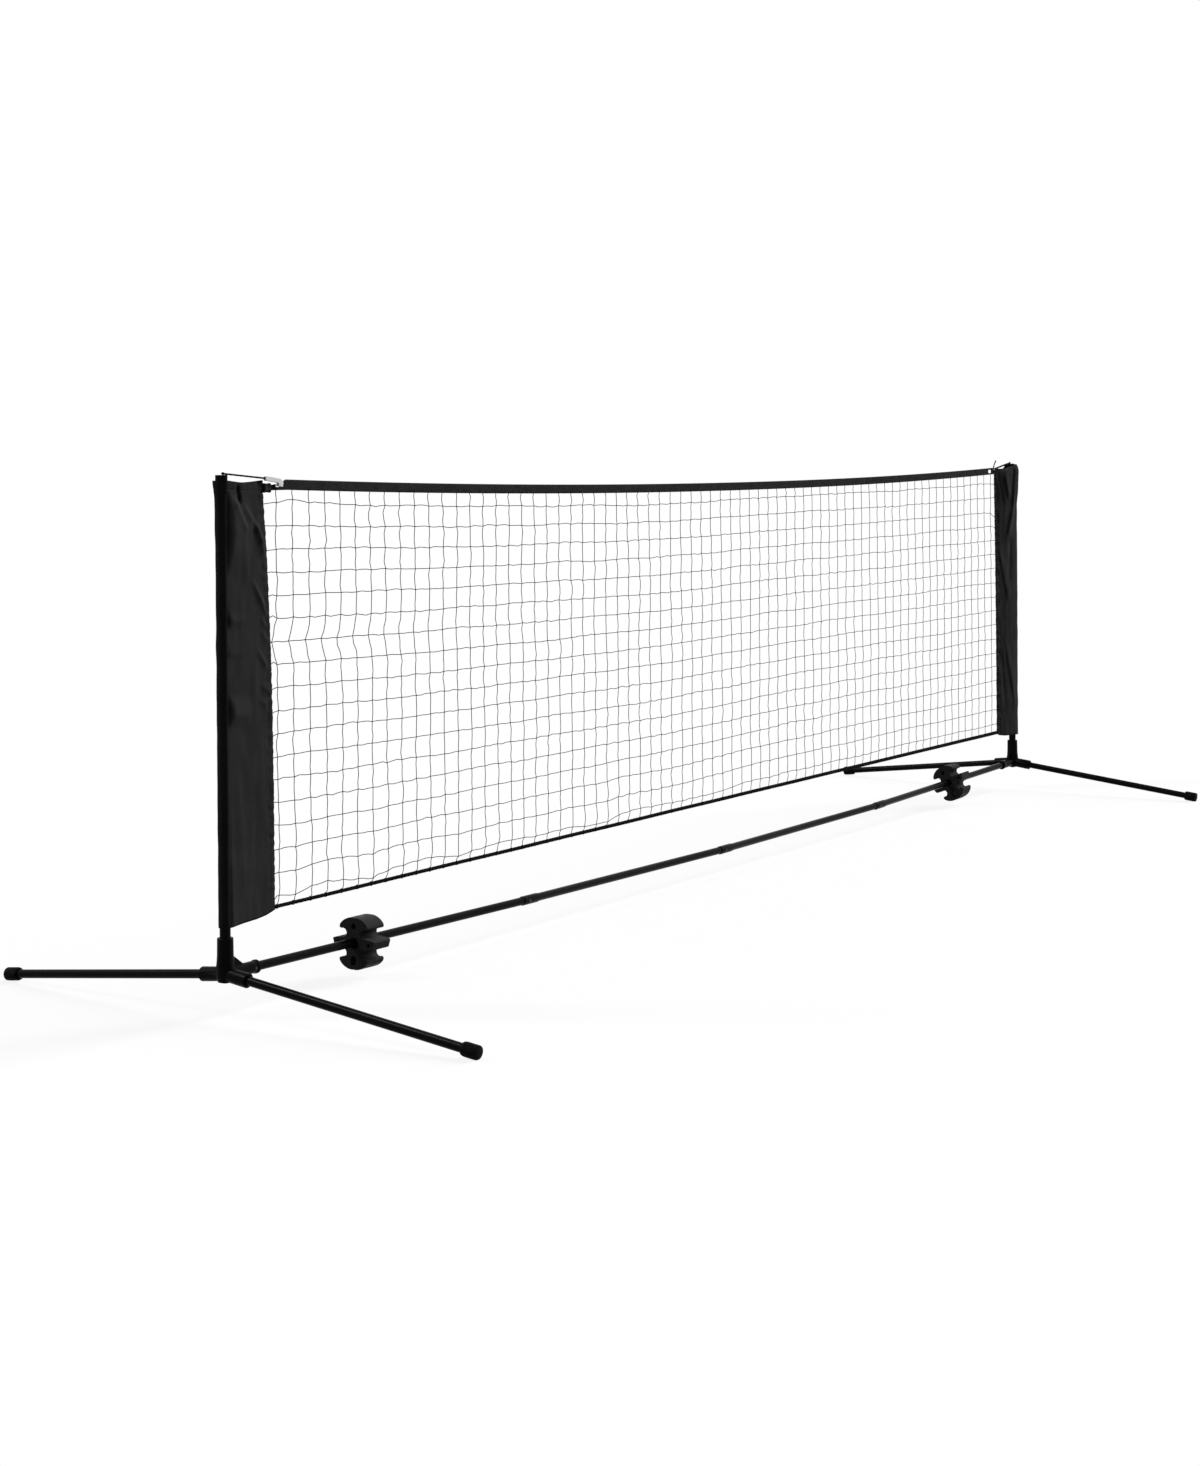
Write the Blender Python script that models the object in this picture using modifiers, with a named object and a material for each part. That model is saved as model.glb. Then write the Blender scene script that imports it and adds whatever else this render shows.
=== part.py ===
"""Multisport net: a tubular frame on four feet that stretches a net between two sleeved posts.

Metres, +Z up. The origin is on the ground, midway between the posts and under the net.
+X runs along the net, from the left post to the right one, and the feet lie along Y.
"""
import math

import bmesh
import bpy
from mathutils import Matrix, Vector

# Overall sizes
POST_SPACING = 3.25
POST_HEIGHT = 0.8425
FOOT_REACH = 0.543
FOOT_SLOPE = math.radians(6.64)
SOLE_DEPTH = 0.0016

# Running and seating gaps
SEAT_GAP = 0.0003
SLIP_GAP = 0.00055
CLOTH_GAP = 0.0004

# Tubes
POST_RADIUS = 0.0095
BAR_RADIUS = 0.008
TUBE_WALL = 0.0012
TUBE_SIDES = 18

# Foot caps
CAP_WALL = 0.0039
CAP_LENGTH = 0.030
CAP_END_WALL = 0.005
CAP_FILLET = 0.0018

# Corner connectors: each length runs from the point where the four bores cross
FOOT_SOCKET_LENGTH = 0.0525
FOOT_SOCKET_WALL = 0.0045
POST_SOCKET_LENGTH = 0.0615
POST_SOCKET_WALL = 0.0042
BAR_SOCKET_LENGTH = 0.078
BAR_SOCKET_WALL = 0.0025
SOCKET_RIM = 0.007
SOCKET_RIM_STEP = 0.0013
SOCKET_EDGE = 0.0007
BORE_CORE = 0.0067
HUB_WALL = 0.0070
HUB_DROP = 0.0145
GUSSET_THICKNESS = 0.005
GUSSET_RISE = 0.032
GUSSET_RUN = 0.042

# Crossbar: four sections that meet in belled slip joints and sag a little at each
BAR_MIDDLE_LENGTH = 0.768
BAR_CENTRE_SHIFT = 0.020
BAR_SAGS = (0.0148, 0.0225, 0.0190)
SLIP_LENGTH = 0.030
BELL_LENGTH = 0.048
BELL_WALL = 0.00075
BELL_TAPER = 0.008

# Posts: an upper tube swaged into a lower one
POST_JOINT_HEIGHT = 0.430
SWAGE_TAPER = 0.003

# Snap buttons, whose heights run from the outside of the tube that carries them
BUTTON_RADIUS = 0.003
BUTTON_RISE = 0.004
BUTTON_FLANGE_RADIUS = 0.0042
BUTTON_FLANGE_DROP = 0.0030
BUTTON_FLANGE_THICKNESS = 0.001
BUTTON_SOCKET_INSET = 0.012
BUTTON_HOLE_GAP = 0.0004
SPRING_WIDTH = 0.005
SPRING_THICKNESS = 0.0008
SPRING_REACH = 0.016
SPRING_BEND = 0.0024

# Post caps, with a recess for a cord's knot and a notch that lets the cord out
POST_CAP_WALL = 0.0008
POST_CAP_SKIRT = 0.017
POST_CAP_DECK = 0.0062
POST_CAP_RIM = 0.0016
POST_CAP_RIM_WALL = 0.0034
POST_CAP_NOTCH = 0.0068

# Clip blocks: an extruded profile that hangs on the crossbar and grips spare tubes
CLIP_LENGTH = 0.047
CLIP_HALF_HEIGHT = 0.0475
CLIP_HEAD_HALF_WIDTH = 0.033
CLIP_LIP_ROUND = 0.0034
CLIP_LIP_RISE = 0.0030
CLIP_POCKET_CENTRE = (0.0245, 0.0185)
CLIP_POCKET_HALF_MOUTH = 65
CLIP_ARM_HALF_WIDTH = 0.0485
CLIP_ARM_SINK = 0.0007
CLIP_ARM_ROUND = 0.0030
CLIP_ARM_RAKE = 0.0032
CLIP_BORE_SLACK = 0.0030
CLIP_HOLE_RADIUS = 0.0055
CLIP_HOLE_COVER = 0.0160
CLIP_SLOT_RADIUS = 0.0065
CLIP_SLOT_COVER = 0.0130
CLIP_SLOT_RUN = 0.0060
CLIP_ARM_HOLE_RADIUS = 0.0036
CLIP_ARM_HOLE_PLACE = 0.0350
CLIP_NOTCH_HALF_WIDTH = 0.0018
CLIP_NOTCH_DEPTH = 0.0020
CLIP_PLACES = (0.361, 0.398)
CLIP_TURNS = (0.0, math.radians(-30))

# Sleeves: cloth tubes round the posts that end in a flat panel at the net
SLEEVE_CLOTH = 0.0008
SLEEVE_SLACKS = (0.0025, 0.0035)
SLEEVE_LEANS = (0.0, 0.0010)
SLEEVE_LIFT = 0.0175
SLEEVE_DROPS = (0.0015, -0.0065)
SLEEVE_CORNER_LIFT = 0.0200
SLEEVE_HEM_DIP = 0.0035
SLEEVE_HEM_SLOPES = (0.0030, 0.0115)
SLEEVE_FLARES = (0.0030, 0.0014)
SLEEVE_PANEL_HALF = 0.0014
SLEEVE_LEVELS = 18
SLEEVE_STEPS = 7
SLEEVE_ROUND_STEPS = 8
SLEEVE_WIDTHS = (0.1254, 0.1035)
SLEEVE_TOP_SHIFTS = (-0.0245, 0.0085)
SLEEVE_FOLD_DEPTH = 0.0055
SLEEVE_FOLD_SPACING = 0.052

# Net, its top tape and its bottom cord
TAPE_HEIGHT = 0.0185
TAPE_THICKNESS = 0.0024
TAPE_DROP = 0.0015
TAPE_SAG = 0.0245
TAPE_LOW_SHIFT = 0.045
TAPE_STEPS = 26
TAPE_TAPER_PLACE = 0.168
TAPE_TAPER_RUN = 0.040
TAPE_TAPER_DROP = 0.0110
TAPE_SLOT_PLACES = ((0.1430, 0.0116), (0.1410, 0.0133))
TAPE_SLOT_LENGTHS = (0.0130, 0.022)
TAPE_SLOT_HEIGHTS = (0.0056, 0.0095)
LOOP_PLACE = 0.0095
LOOP_LENGTH = 0.016
LOOP_HEIGHT = 0.0130
LOOP_DEPTH = 0.0072
LOOP_THICKNESS = 0.0014
CORD_RADIUS = 0.003
CORD_RISE = 0.0147
NET_COLUMNS = 28
NET_ROWS = 8
NET_TWINE = 0.0024
NET_SIDE_GAP = 0.0004
NET_CORNER_DROP = 0.005

# Tension cords and the tensioning hook, whose places run from a post and below its top
TIE_RADIUS = 0.0016
KNOT_RADIUS = 0.0035
KNOT_SHIFT = 0.0038
HOOK_PLACE = (0.1505, 0.0008)
HOOK_LEAN = math.radians(7.5)
HOOK_LENGTH = 0.046
HOOK_HEIGHT = 0.0078
HOOK_DEPTH = 0.0056
HOOK_DROP = 0.0135
HOOK_LEG_WIDTH = 0.0115
HOOK_CORNER = 0.0015
HOOK_TOE_HEIGHT = 0.0030
HOOK_TOE_REACH = 0.0045
HOOK_EYE_DEPTH = 0.012
HOOK_EDGE = 0.0006
TIE_KNOT_PLACE = (0.1105, 0.0031)

# Places that follow from the sizes
HALF_SPACING = POST_SPACING / 2
BAR_BORE = BAR_RADIUS + SEAT_GAP
POST_BORE = POST_RADIUS + SEAT_GAP
SWAGE_RADIUS = POST_RADIUS - TUBE_WALL - SEAT_GAP
CAP_RADIUS = BAR_BORE + CAP_WALL
BORE_FLOOR = POST_BORE + BORE_CORE
AXIS_HEIGHT = (FOOT_REACH * math.sin(FOOT_SLOPE) + CAP_RADIUS * math.cos(FOOT_SLOPE)
               - SOLE_DEPTH)
BAR_JOINTS = tuple(HALF_SPACING + BAR_CENTRE_SHIFT + i * BAR_MIDDLE_LENGTH
                   for i in (-1, 0, 1))
SLEEVE_BOTTOM = POST_SOCKET_LENGTH + SLEEVE_LIFT
SLEEVE_TOPS = tuple(POST_HEIGHT - drop for drop in SLEEVE_DROPS)
TAPE_TOP_END = POST_HEIGHT - TAPE_DROP
CORD_HEIGHT = SLEEVE_BOTTOM + CORD_RISE
LEFT, RIGHT = -1, 1
SIDE_NAMES = {LEFT: "left", RIGHT: "right"}
SIDES = (LEFT, RIGHT)


def side_index(side):
    return SIDES.index(side)


def from_left(x):
    """World x of a distance measured from the left post's axis."""
    return x - HALF_SPACING


def above_axis(z):
    """World z of a height measured from the connectors' bores."""
    return z + AXIS_HEIGHT


def by_post(side, inwards, below_top):
    """A point in the net's plane, from a post towards the net and down from the post's top."""
    return Vector((side * (HALF_SPACING - inwards), 0, above_axis(POST_HEIGHT - below_top)))


# Scene, collections and materials
for old in list(bpy.data.objects):
    bpy.data.objects.remove(old, do_unlink=True)

PARTS = bpy.data.collections.new("multisport_net")
CUTTERS = bpy.data.collections.new("cutters")
bpy.context.scene.collection.children.link(PARTS)
bpy.context.scene.collection.children.link(CUTTERS)


def material(name, colour, roughness, metallic=0.0):
    made = bpy.data.materials.new(name)
    made.use_nodes = True
    shader = made.node_tree.nodes["Principled BSDF"]
    shader.inputs["Base Color"].default_value = (*colour, 1.0)
    shader.inputs["Roughness"].default_value = roughness
    shader.inputs["Metallic"].default_value = metallic
    made.diffuse_color = (*colour, 1.0)
    return made


STEEL = material("black_coated_steel", (0.018, 0.018, 0.020), 0.28, 0.6)
PLASTIC = material("black_moulded_plastic", (0.022, 0.022, 0.024), 0.34)
RUBBER = material("black_rubber", (0.026, 0.026, 0.027), 0.75)
CHARCOAL = material("charcoal_plastic", (0.040, 0.040, 0.043), 0.5)
SPRING_STEEL = material("spring_steel", (0.55, 0.55, 0.56), 0.3, 1.0)
CLOTH = material("black_polyester", (0.020, 0.020, 0.024), 0.6)
WEBBING = material("black_webbing", (0.028, 0.028, 0.031), 0.8)
TWINE = material("dark_twine", (0.060, 0.060, 0.062), 0.8)
ROPE = material("black_rope", (0.012, 0.012, 0.013), 0.7)
WHITE = material("white_plastic", (0.80, 0.80, 0.80), 0.35)


# Modelling helpers
def add_object(name, mesh, finish=None, matrix=None):
    """Links a mesh as a part, or as a hidden cutter when it has no finish."""
    made = bpy.data.objects.new(name, mesh)
    if matrix is not None:
        made.matrix_world = matrix
    if finish is None:
        CUTTERS.objects.link(made)
        made.hide_render = True
        made.display_type = "WIRE"
    else:
        PARTS.objects.link(made)
        mesh.materials.append(finish)
    return made


def smooth(made, angle=35):
    made.data.shade_smooth()
    made.data.set_sharp_from_angle(angle=math.radians(angle))


def along(start, direction):
    """A frame whose +Z runs along direction from start, with +X kept level where it can be."""
    z = Vector(direction).normalized()
    side = Vector((0, 1, 0)) if abs(z.y) < 0.9 else Vector((1, 0, 0))
    x = side.cross(z).normalized()
    y = z.cross(x)
    turn = Matrix((x, y, z)).transposed().to_4x4()
    return Matrix.Translation(Vector(start)) @ turn


def spun(frame, angle):
    """The frame turned about its own axis, so that two pieces' ridges don't meet."""
    return frame @ Matrix.Rotation(angle, 4, "Z")


def path_mesh(name, points, closed=False):
    mesh = bpy.data.meshes.new(name)
    count = len(points)
    edges = [(i, i + 1) for i in range(count - 1)]
    if closed:
        edges.append((count - 1, 0))
    mesh.from_pydata(points, edges, [])
    return mesh


def turned(name, profile, finish=None, matrix=None, closed=False, sides=TUBE_SIDES):
    """Turns a (radius, height) profile, listed down its outer side, about local Z."""
    points = [(radius, 0.0, height) for radius, height in profile]
    made = add_object(name, path_mesh(name, points, closed), finish, matrix)
    screw = made.modifiers.new("turn", "SCREW")
    screw.axis = "Z"
    screw.steps = sides
    screw.render_steps = sides
    screw.use_merge_vertices = True
    screw.merge_threshold = 0.00001
    return made


def rod(name, radius, bottom, top, matrix, finish=None, sides=TUBE_SIDES):
    return turned(name, [(0, top), (radius, top), (radius, bottom), (0, bottom)],
                  finish, matrix, sides=sides)


def ball(name, radius, matrix, sides=14):
    rings = sides // 2
    arc = [(radius * math.sin(math.pi * i / rings), radius * math.cos(math.pi * i / rings))
           for i in range(1, rings)]
    return turned(name, [(0, radius), *arc, (0, -radius)], None, matrix, sides=sides)


def box(name, low, high, finish=None, matrix=None):
    mesh = bpy.data.meshes.new(name)
    shape = bmesh.new()
    bmesh.ops.create_cube(shape, size=1.0)
    for corner in shape.verts:
        corner.co = [low[i] + (corner.co[i] + 0.5) * (high[i] - low[i]) for i in range(3)]
    shape.to_mesh(mesh)
    shape.free()
    return add_object(name, mesh, finish, matrix)


def combine(made, other, operation):
    step = made.modifiers.new(other.name, "BOOLEAN")
    step.operation = operation
    step.solver = "EXACT"
    step.object = other


def join(made, *others):
    for other in others:
        combine(made, other, "UNION")


def cut(made, *others):
    for other in others:
        combine(made, other, "DIFFERENCE")


def evaluated_mesh(source, weld=0.0):
    """The mesh that an object shows, with a curve's loose caps welded on."""
    graph = bpy.context.evaluated_depsgraph_get()
    mesh = bpy.data.meshes.new_from_object(source.evaluated_get(graph))
    if weld:
        shape = bmesh.new()
        shape.from_mesh(mesh)
        bmesh.ops.remove_doubles(shape, verts=shape.verts, dist=weld)
        shape.to_mesh(mesh)
        shape.free()
    return mesh


def slab(name, outlines, half_depth, finish=None, matrix=None):
    """A flat outline, with any holes, as a solid of twice half_depth along local Z."""
    curve = bpy.data.curves.new(name + "_outline", "CURVE")
    curve.dimensions = "2D"
    curve.fill_mode = "BOTH"
    curve.extrude = half_depth
    for outline in outlines:
        spline = curve.splines.new("POLY")
        spline.points.add(len(outline) - 1)
        for point, (x, y) in zip(spline.points, outline):
            point.co = (x, y, 0, 1)
        spline.use_cyclic_u = True
    source = bpy.data.objects.new(name + "_outline", curve)
    bpy.context.scene.collection.objects.link(source)
    bpy.context.view_layer.update()
    mesh = evaluated_mesh(source, weld=0.00002)
    mesh.materials.clear()
    bpy.data.objects.remove(source, do_unlink=True)
    bpy.data.curves.remove(curve)
    return add_object(name, mesh, finish, matrix)


def ribbon(name, path, width, thickness, finish=None, matrix=None, closed=False):
    """A strip that follows a path in local XZ, as wide as width along local Y."""
    mesh = bpy.data.meshes.new(name)
    count = len(path)
    rows = [(x, side * width / 2, z) for side in (-1, 1) for x, z in path]
    ends = count if closed else count - 1
    faces = [(i, (i + 1) % count, count + (i + 1) % count, count + i) for i in range(ends)]
    mesh.from_pydata(rows, [], faces)
    made = add_object(name, mesh, finish, matrix)
    shell = made.modifiers.new("shell", "SOLIDIFY")
    shell.thickness = thickness
    shell.offset = 0.0
    shell.use_even_offset = True
    return made


def arc(centre, radius, start, end, steps):
    """Points round a centre from one angle to another, in degrees."""
    return [(centre[0] + radius * math.cos(math.radians(start + (end - start) * i / steps)),
             centre[1] + radius * math.sin(math.radians(start + (end - start) * i / steps)))
            for i in range(steps + 1)]


def circle(centre, radius, steps):
    return arc(centre, radius, 0, 360 * (steps - 1) / steps, steps - 1)


def smooth_route(points, per_span):
    """A smooth curve through chosen points, read at even steps."""
    held = [points[0], *points, points[-1]]
    route = []
    for a, b, c, d in zip(held, held[1:], held[2:], held[3:]):
        for i in range(per_span):
            t = i / per_span
            route.append(0.5 * (2 * b + (c - a) * t + (2 * a - 5 * b + 4 * c - d) * t * t
                                + (3 * b - a - 3 * c + d) * t * t * t))
    route.append(points[-1])
    return route


def cord(name, points, radius, finish=None, detail=2):
    """A round cord through the points, as a welded mesh."""
    curve = bpy.data.curves.new(name + "_route", "CURVE")
    curve.dimensions = "3D"
    curve.bevel_depth = radius
    curve.bevel_resolution = detail
    curve.use_fill_caps = True
    spline = curve.splines.new("POLY")
    spline.points.add(len(points) - 1)
    for point, place in zip(spline.points, points):
        point.co = (*place, 1)
    source = bpy.data.objects.new(name + "_route", curve)
    bpy.context.scene.collection.objects.link(source)
    bpy.context.view_layer.update()
    mesh = evaluated_mesh(source, weld=0.00002)
    mesh.materials.clear()
    bpy.data.objects.remove(source, do_unlink=True)
    bpy.data.curves.remove(curve)
    return add_object(name, mesh, finish)


# Frames of the main axes
def connector_centre(side):
    return Vector((side * HALF_SPACING, 0, AXIS_HEIGHT))


def foot_direction(end):
    """Unit vector down a foot: end is -1 for the front foot and 1 for the rear one."""
    return Vector((0, end * math.cos(FOOT_SLOPE), -math.sin(FOOT_SLOPE)))


def bar_nodes():
    """The crossbar's pivots, from the left connector to the right one."""
    joints = [Vector((from_left(x), 0, above_axis(-sag)))
              for x, sag in zip(BAR_JOINTS, BAR_SAGS)]
    return [connector_centre(LEFT), *joints, connector_centre(RIGHT)]


def bar_frame(index):
    """A frame at the start of a crossbar section, with +Z along it."""
    nodes = bar_nodes()
    return along(nodes[index], nodes[index + 1] - nodes[index])


def bar_length(index):
    nodes = bar_nodes()
    return (nodes[index + 1] - nodes[index]).length


def button_frame(place, tube_direction, outward):
    """A frame whose +Z points out of the tube and whose +X runs along it."""
    x = Vector(tube_direction).normalized()
    z = Vector(outward).normalized()
    y = z.cross(x)
    turn = Matrix((x, y, z)).transposed().to_4x4()
    return Matrix.Translation(Vector(place)) @ turn


def button_hole(name, frame, tube):
    """The hole through the wall on the button's side, turned so no corner meets a ridge."""
    return rod(name, BUTTON_RADIUS + BUTTON_HOLE_GAP, tube - BUTTON_FLANGE_DROP - 0.002,
               tube + BUTTON_RISE + 0.003, spun(frame, 0.17), sides=12)


# Corner connectors and what stands in them
def socket_profile(radius, length, root):
    """A socket's outer side: a plain barrel from inside the hub to an eased end."""
    return [(0, length), (radius - SOCKET_EDGE, length), (radius, length - SOCKET_EDGE),
            (radius - SOCKET_EDGE * 0.5, root), (0, root)]


def rimmed_profile(radius, length, root):
    """The same with a thicker rounded rim, as on the crossbar's socket."""
    rim = radius + SOCKET_RIM_STEP
    edge = SOCKET_RIM_STEP * 0.8
    return [(0, length), (rim - edge, length), (rim, length - edge),
            (rim, length - SOCKET_RIM + edge), (radius, length - SOCKET_RIM),
            (radius, root), (0, root)]


def connector_bar_frame(side):
    nodes = bar_nodes()
    start, beyond = (nodes[0], nodes[1]) if side == LEFT else (nodes[-1], nodes[-2])
    return along(start, beyond - start)


def make_connector(side):
    name = "corner_connector_" + SIDE_NAMES[side]
    centre = connector_centre(side)
    upright = along(centre, (0, 0, 1))
    radius = POST_BORE + POST_SOCKET_WALL
    flare = radius + 0.0022
    length = POST_SOCKET_LENGTH
    post_socket = [(0, length), (radius - SOCKET_EDGE, length), (radius, length - SOCKET_EDGE),
                   (radius + 0.0003, 0.034), (radius + 0.001, 0.022), (flare, 0.011),
                   (flare, -0.004), (flare - 0.003, 0.001 - HUB_DROP), (0, -HUB_DROP)]
    body = turned(name, post_socket, PLASTIC, upright)
    pieces = [ball(name + "_hub", POST_BORE + HUB_WALL, spun(upright, 0.11))]
    bores = [rod(name + "_post_bore", POST_BORE, BORE_FLOOR, length + 0.01, upright)]
    for end, label in ((-1, "front"), (1, "rear")):
        frame = along(centre, foot_direction(end))
        profile = socket_profile(BAR_BORE + FOOT_SOCKET_WALL, FOOT_SOCKET_LENGTH, 0.004)
        pieces.append(turned(name + "_" + label, profile, None, spun(frame, 0.05 * end)))
        bores.append(rod(name + "_" + label + "_bore", BAR_BORE, BORE_FLOOR,
                         FOOT_SOCKET_LENGTH + 0.01, spun(frame, 0.13 * end)))
    bar = connector_bar_frame(side)
    profile = rimmed_profile(BAR_BORE + BAR_SOCKET_WALL, BAR_SOCKET_LENGTH, 0.005)
    pieces.append(turned(name + "_bar", profile, None, spun(bar, 0.08)))
    bores.append(rod(name + "_bar_bore", BAR_BORE, BORE_FLOOR, BAR_SOCKET_LENGTH + 0.01,
                     spun(bar, 0.03)))
    pieces.append(make_gusset(name + "_gusset", side))
    bores.append(button_hole(name + "_button_hole", socket_button_frame(side), BAR_RADIUS))
    join(body, *pieces)
    cut(body, *bores)
    smooth(body)
    return body


def make_gusset(name, side):
    """The web between the post's socket and the crossbar's."""
    post = POST_BORE + POST_SOCKET_WALL
    bar = BAR_BORE + BAR_SOCKET_WALL
    outline = [(post * 0.75, 0), (post * 0.75, GUSSET_RISE), (post + 0.0012, GUSSET_RISE),
               (post + 0.0020, GUSSET_RISE - 0.0030),
               (GUSSET_RUN, bar - 0.0006), (GUSSET_RUN, 0)]
    outline = [(-side * x, z) for x, z in outline]
    turn = Matrix.Rotation(math.radians(90), 4, "X")
    return slab(name, [outline], GUSSET_THICKNESS / 2, None,
                Matrix.Translation(connector_centre(side)) @ turn)


def tube_profile(radius, start, end, wall=TUBE_WALL):
    return [(radius, end), (radius, start), (radius - wall, start), (radius - wall, end)]


def make_foot(side, end, label):
    name = "_".join((label, SIDE_NAMES[side]))
    frame = along(connector_centre(side), foot_direction(end))
    cap_floor = FOOT_REACH - CAP_END_WALL
    tube = turned("foot_tube_" + name,
                  tube_profile(BAR_RADIUS, BORE_FLOOR + SEAT_GAP, cap_floor - SEAT_GAP),
                  STEEL, frame, closed=True)
    smooth(tube)
    mouth = FOOT_REACH - CAP_LENGTH
    bore = BAR_BORE
    cap = turned("foot_cap_" + name,
                 [(0, FOOT_REACH), (CAP_RADIUS - CAP_FILLET, FOOT_REACH),
                  (CAP_RADIUS - CAP_FILLET * 0.3, FOOT_REACH - CAP_FILLET * 0.3),
                  (CAP_RADIUS, FOOT_REACH - CAP_FILLET),
                  (CAP_RADIUS, mouth + 0.004), (CAP_RADIUS - 0.0008, mouth),
                  (bore, mouth), (bore, cap_floor), (0, cap_floor)],
                 RUBBER, frame)
    reach = FOOT_REACH * 1.1
    ground = box("ground_" + name, (side * HALF_SPACING - 0.05, -reach, -0.05),
                 (side * HALF_SPACING + 0.05, reach, 0))
    cut(cap, ground)
    smooth(cap)


def make_post(side):
    name = SIDE_NAMES[side]
    upright = along(connector_centre(side), (0, 0, 1))
    joint_top = POST_JOINT_HEIGHT + SLIP_LENGTH / 2
    lower = turned("post_lower_" + name,
                   tube_profile(POST_RADIUS, BORE_FLOOR + SEAT_GAP, joint_top),
                   STEEL, upright, closed=True)
    swage = SWAGE_RADIUS
    swage_bottom = POST_JOINT_HEIGHT - SLIP_LENGTH / 2
    shoulder = joint_top + SEAT_GAP
    full = shoulder + SWAGE_TAPER
    upper = turned("post_upper_" + name,
                   [(POST_RADIUS, POST_HEIGHT), (POST_RADIUS, full), (swage, shoulder),
                    (swage, swage_bottom), (swage - TUBE_WALL, swage_bottom),
                    (swage - TUBE_WALL, shoulder), (POST_RADIUS - TUBE_WALL, full),
                    (POST_RADIUS - TUBE_WALL, POST_HEIGHT)],
                   STEEL, upright, closed=True)
    frame = post_button_frame(side)
    hole = button_hole("post_button_hole_" + name, frame, SWAGE_RADIUS)
    cut(lower, hole)
    cut(upper, hole)
    smooth(lower)
    smooth(upper)
    make_button("snap_button_post_" + name, frame, SWAGE_RADIUS)


def make_post_cap(side):
    """A cap over the post's end, notched towards the net."""
    name = "post_cap_" + SIDE_NAMES[side]
    upright = along(connector_centre(side), (0, 0, 1))
    inner = POST_BORE
    outer = inner + POST_CAP_WALL
    recess = outer - POST_CAP_RIM_WALL
    ceiling = POST_HEIGHT + SEAT_GAP
    deck = ceiling + POST_CAP_DECK
    rim = deck + POST_CAP_RIM
    mouth = POST_HEIGHT - POST_CAP_SKIRT
    cap = turned(name,
                 [(0, deck), (recess, deck), (recess, rim),
                  (outer - 0.0008, rim), (outer, rim - 0.0008), (outer, mouth),
                  (inner, mouth), (inner, ceiling), (0, ceiling)], PLASTIC, upright)
    centre = connector_centre(side)
    beyond = -side * (outer + 0.01)
    low = (min(0, beyond), -POST_CAP_NOTCH / 2, deck + 0.0001)
    high = (max(0, beyond), POST_CAP_NOTCH / 2, rim + 0.005)
    notch = box(name + "_notch", low, high, None, Matrix.Translation(centre))
    cut(cap, notch)
    smooth(cap)


# Crossbar and snap buttons
def socket_button_frame(side):
    frame = connector_bar_frame(side)
    direction = frame.to_3x3().col[2]
    place = frame.translation + direction * (BAR_SOCKET_LENGTH - BUTTON_SOCKET_INSET)
    return button_frame(place, direction * -side, (0, -1, 0))


def joint_button_frame(index):
    """The frame of the button in the joint at the end of a crossbar section."""
    frame = bar_frame(index)
    direction = frame.to_3x3().col[2]
    return button_frame(frame.translation + direction * bar_length(index), direction,
                        (0, -1, 0))


def post_button_frame(side):
    place = connector_centre(side) + Vector((0, 0, POST_JOINT_HEIGHT))
    return button_frame(place, (0, 0, 1), (-side, 0, 0))


def make_button(name, frame, tube):
    """A snap button with its leaf spring, which bends back inside the tube."""
    top = tube + BUTTON_RISE
    flange = tube - BUTTON_FLANGE_DROP
    base = flange - BUTTON_FLANGE_THICKNESS
    dome = [(0, top), (BUTTON_RADIUS * 0.45, top - 0.0002), (BUTTON_RADIUS * 0.8, top - 0.0008),
            (BUTTON_RADIUS, top - 0.0019), (BUTTON_RADIUS, flange),
            (BUTTON_FLANGE_RADIUS, flange), (BUTTON_FLANGE_RADIUS, base), (0, base)]
    button = turned(name, dome, SPRING_STEEL, frame, sides=10)
    level = base - SPRING_THICKNESS * 0.3
    bend = arc((-SPRING_REACH, level - SPRING_BEND), SPRING_BEND, 90, 270, 5)
    path = [(0.004, level), *bend, (0.002, level - 2 * SPRING_BEND)]
    leaf = ribbon(name + "_leaf", path, SPRING_WIDTH, SPRING_THICKNESS, None, frame)
    join(button, leaf)
    smooth(button)
    return button


def make_crossbar():
    last = len(BAR_JOINTS)
    bell_inner = BAR_RADIUS + SLIP_GAP
    bell_outer = bell_inner + BELL_WALL
    inner = BAR_RADIUS - TUBE_WALL
    holes = [button_hole("bar_button_hole_%d" % (i + 1), joint_button_frame(i), BAR_RADIUS)
             for i in range(last)]
    left_hole = button_hole("bar_end_hole_left", socket_button_frame(LEFT), BAR_RADIUS)
    right_hole = button_hole("bar_end_hole_right", socket_button_frame(RIGHT), BAR_RADIUS)
    for index in range(last + 1):
        seat = BORE_FLOOR + SEAT_GAP
        end = bar_length(index) + (-seat if index == last else SLIP_LENGTH / 2)
        if index == 0:
            profile = tube_profile(BAR_RADIUS, seat, end)
        else:
            mouth = -SLIP_LENGTH / 2
            neck = mouth + BELL_LENGTH
            plain = neck + BELL_TAPER
            profile = [(BAR_RADIUS, end), (BAR_RADIUS, plain), (bell_outer, neck),
                       (bell_outer, mouth), (bell_inner, mouth), (bell_inner, neck - 0.004),
                       (inner, plain), (inner, end)]
        section = turned("crossbar_section_%d" % (index + 1), profile, STEEL,
                         bar_frame(index), closed=True)
        if index > 0:
            cut(section, holes[index - 1])
        if index < last:
            cut(section, holes[index])
        if index == 0:
            cut(section, left_hole)
        if index == last:
            cut(section, right_hole)
        smooth(section)
    for index in range(last):
        make_button("snap_button_bar_%d" % (index + 1), joint_button_frame(index), BAR_RADIUS)
    for side in SIDES:
        make_button("snap_button_corner_" + SIDE_NAMES[side], socket_button_frame(side),
                    BAR_RADIUS)


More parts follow.
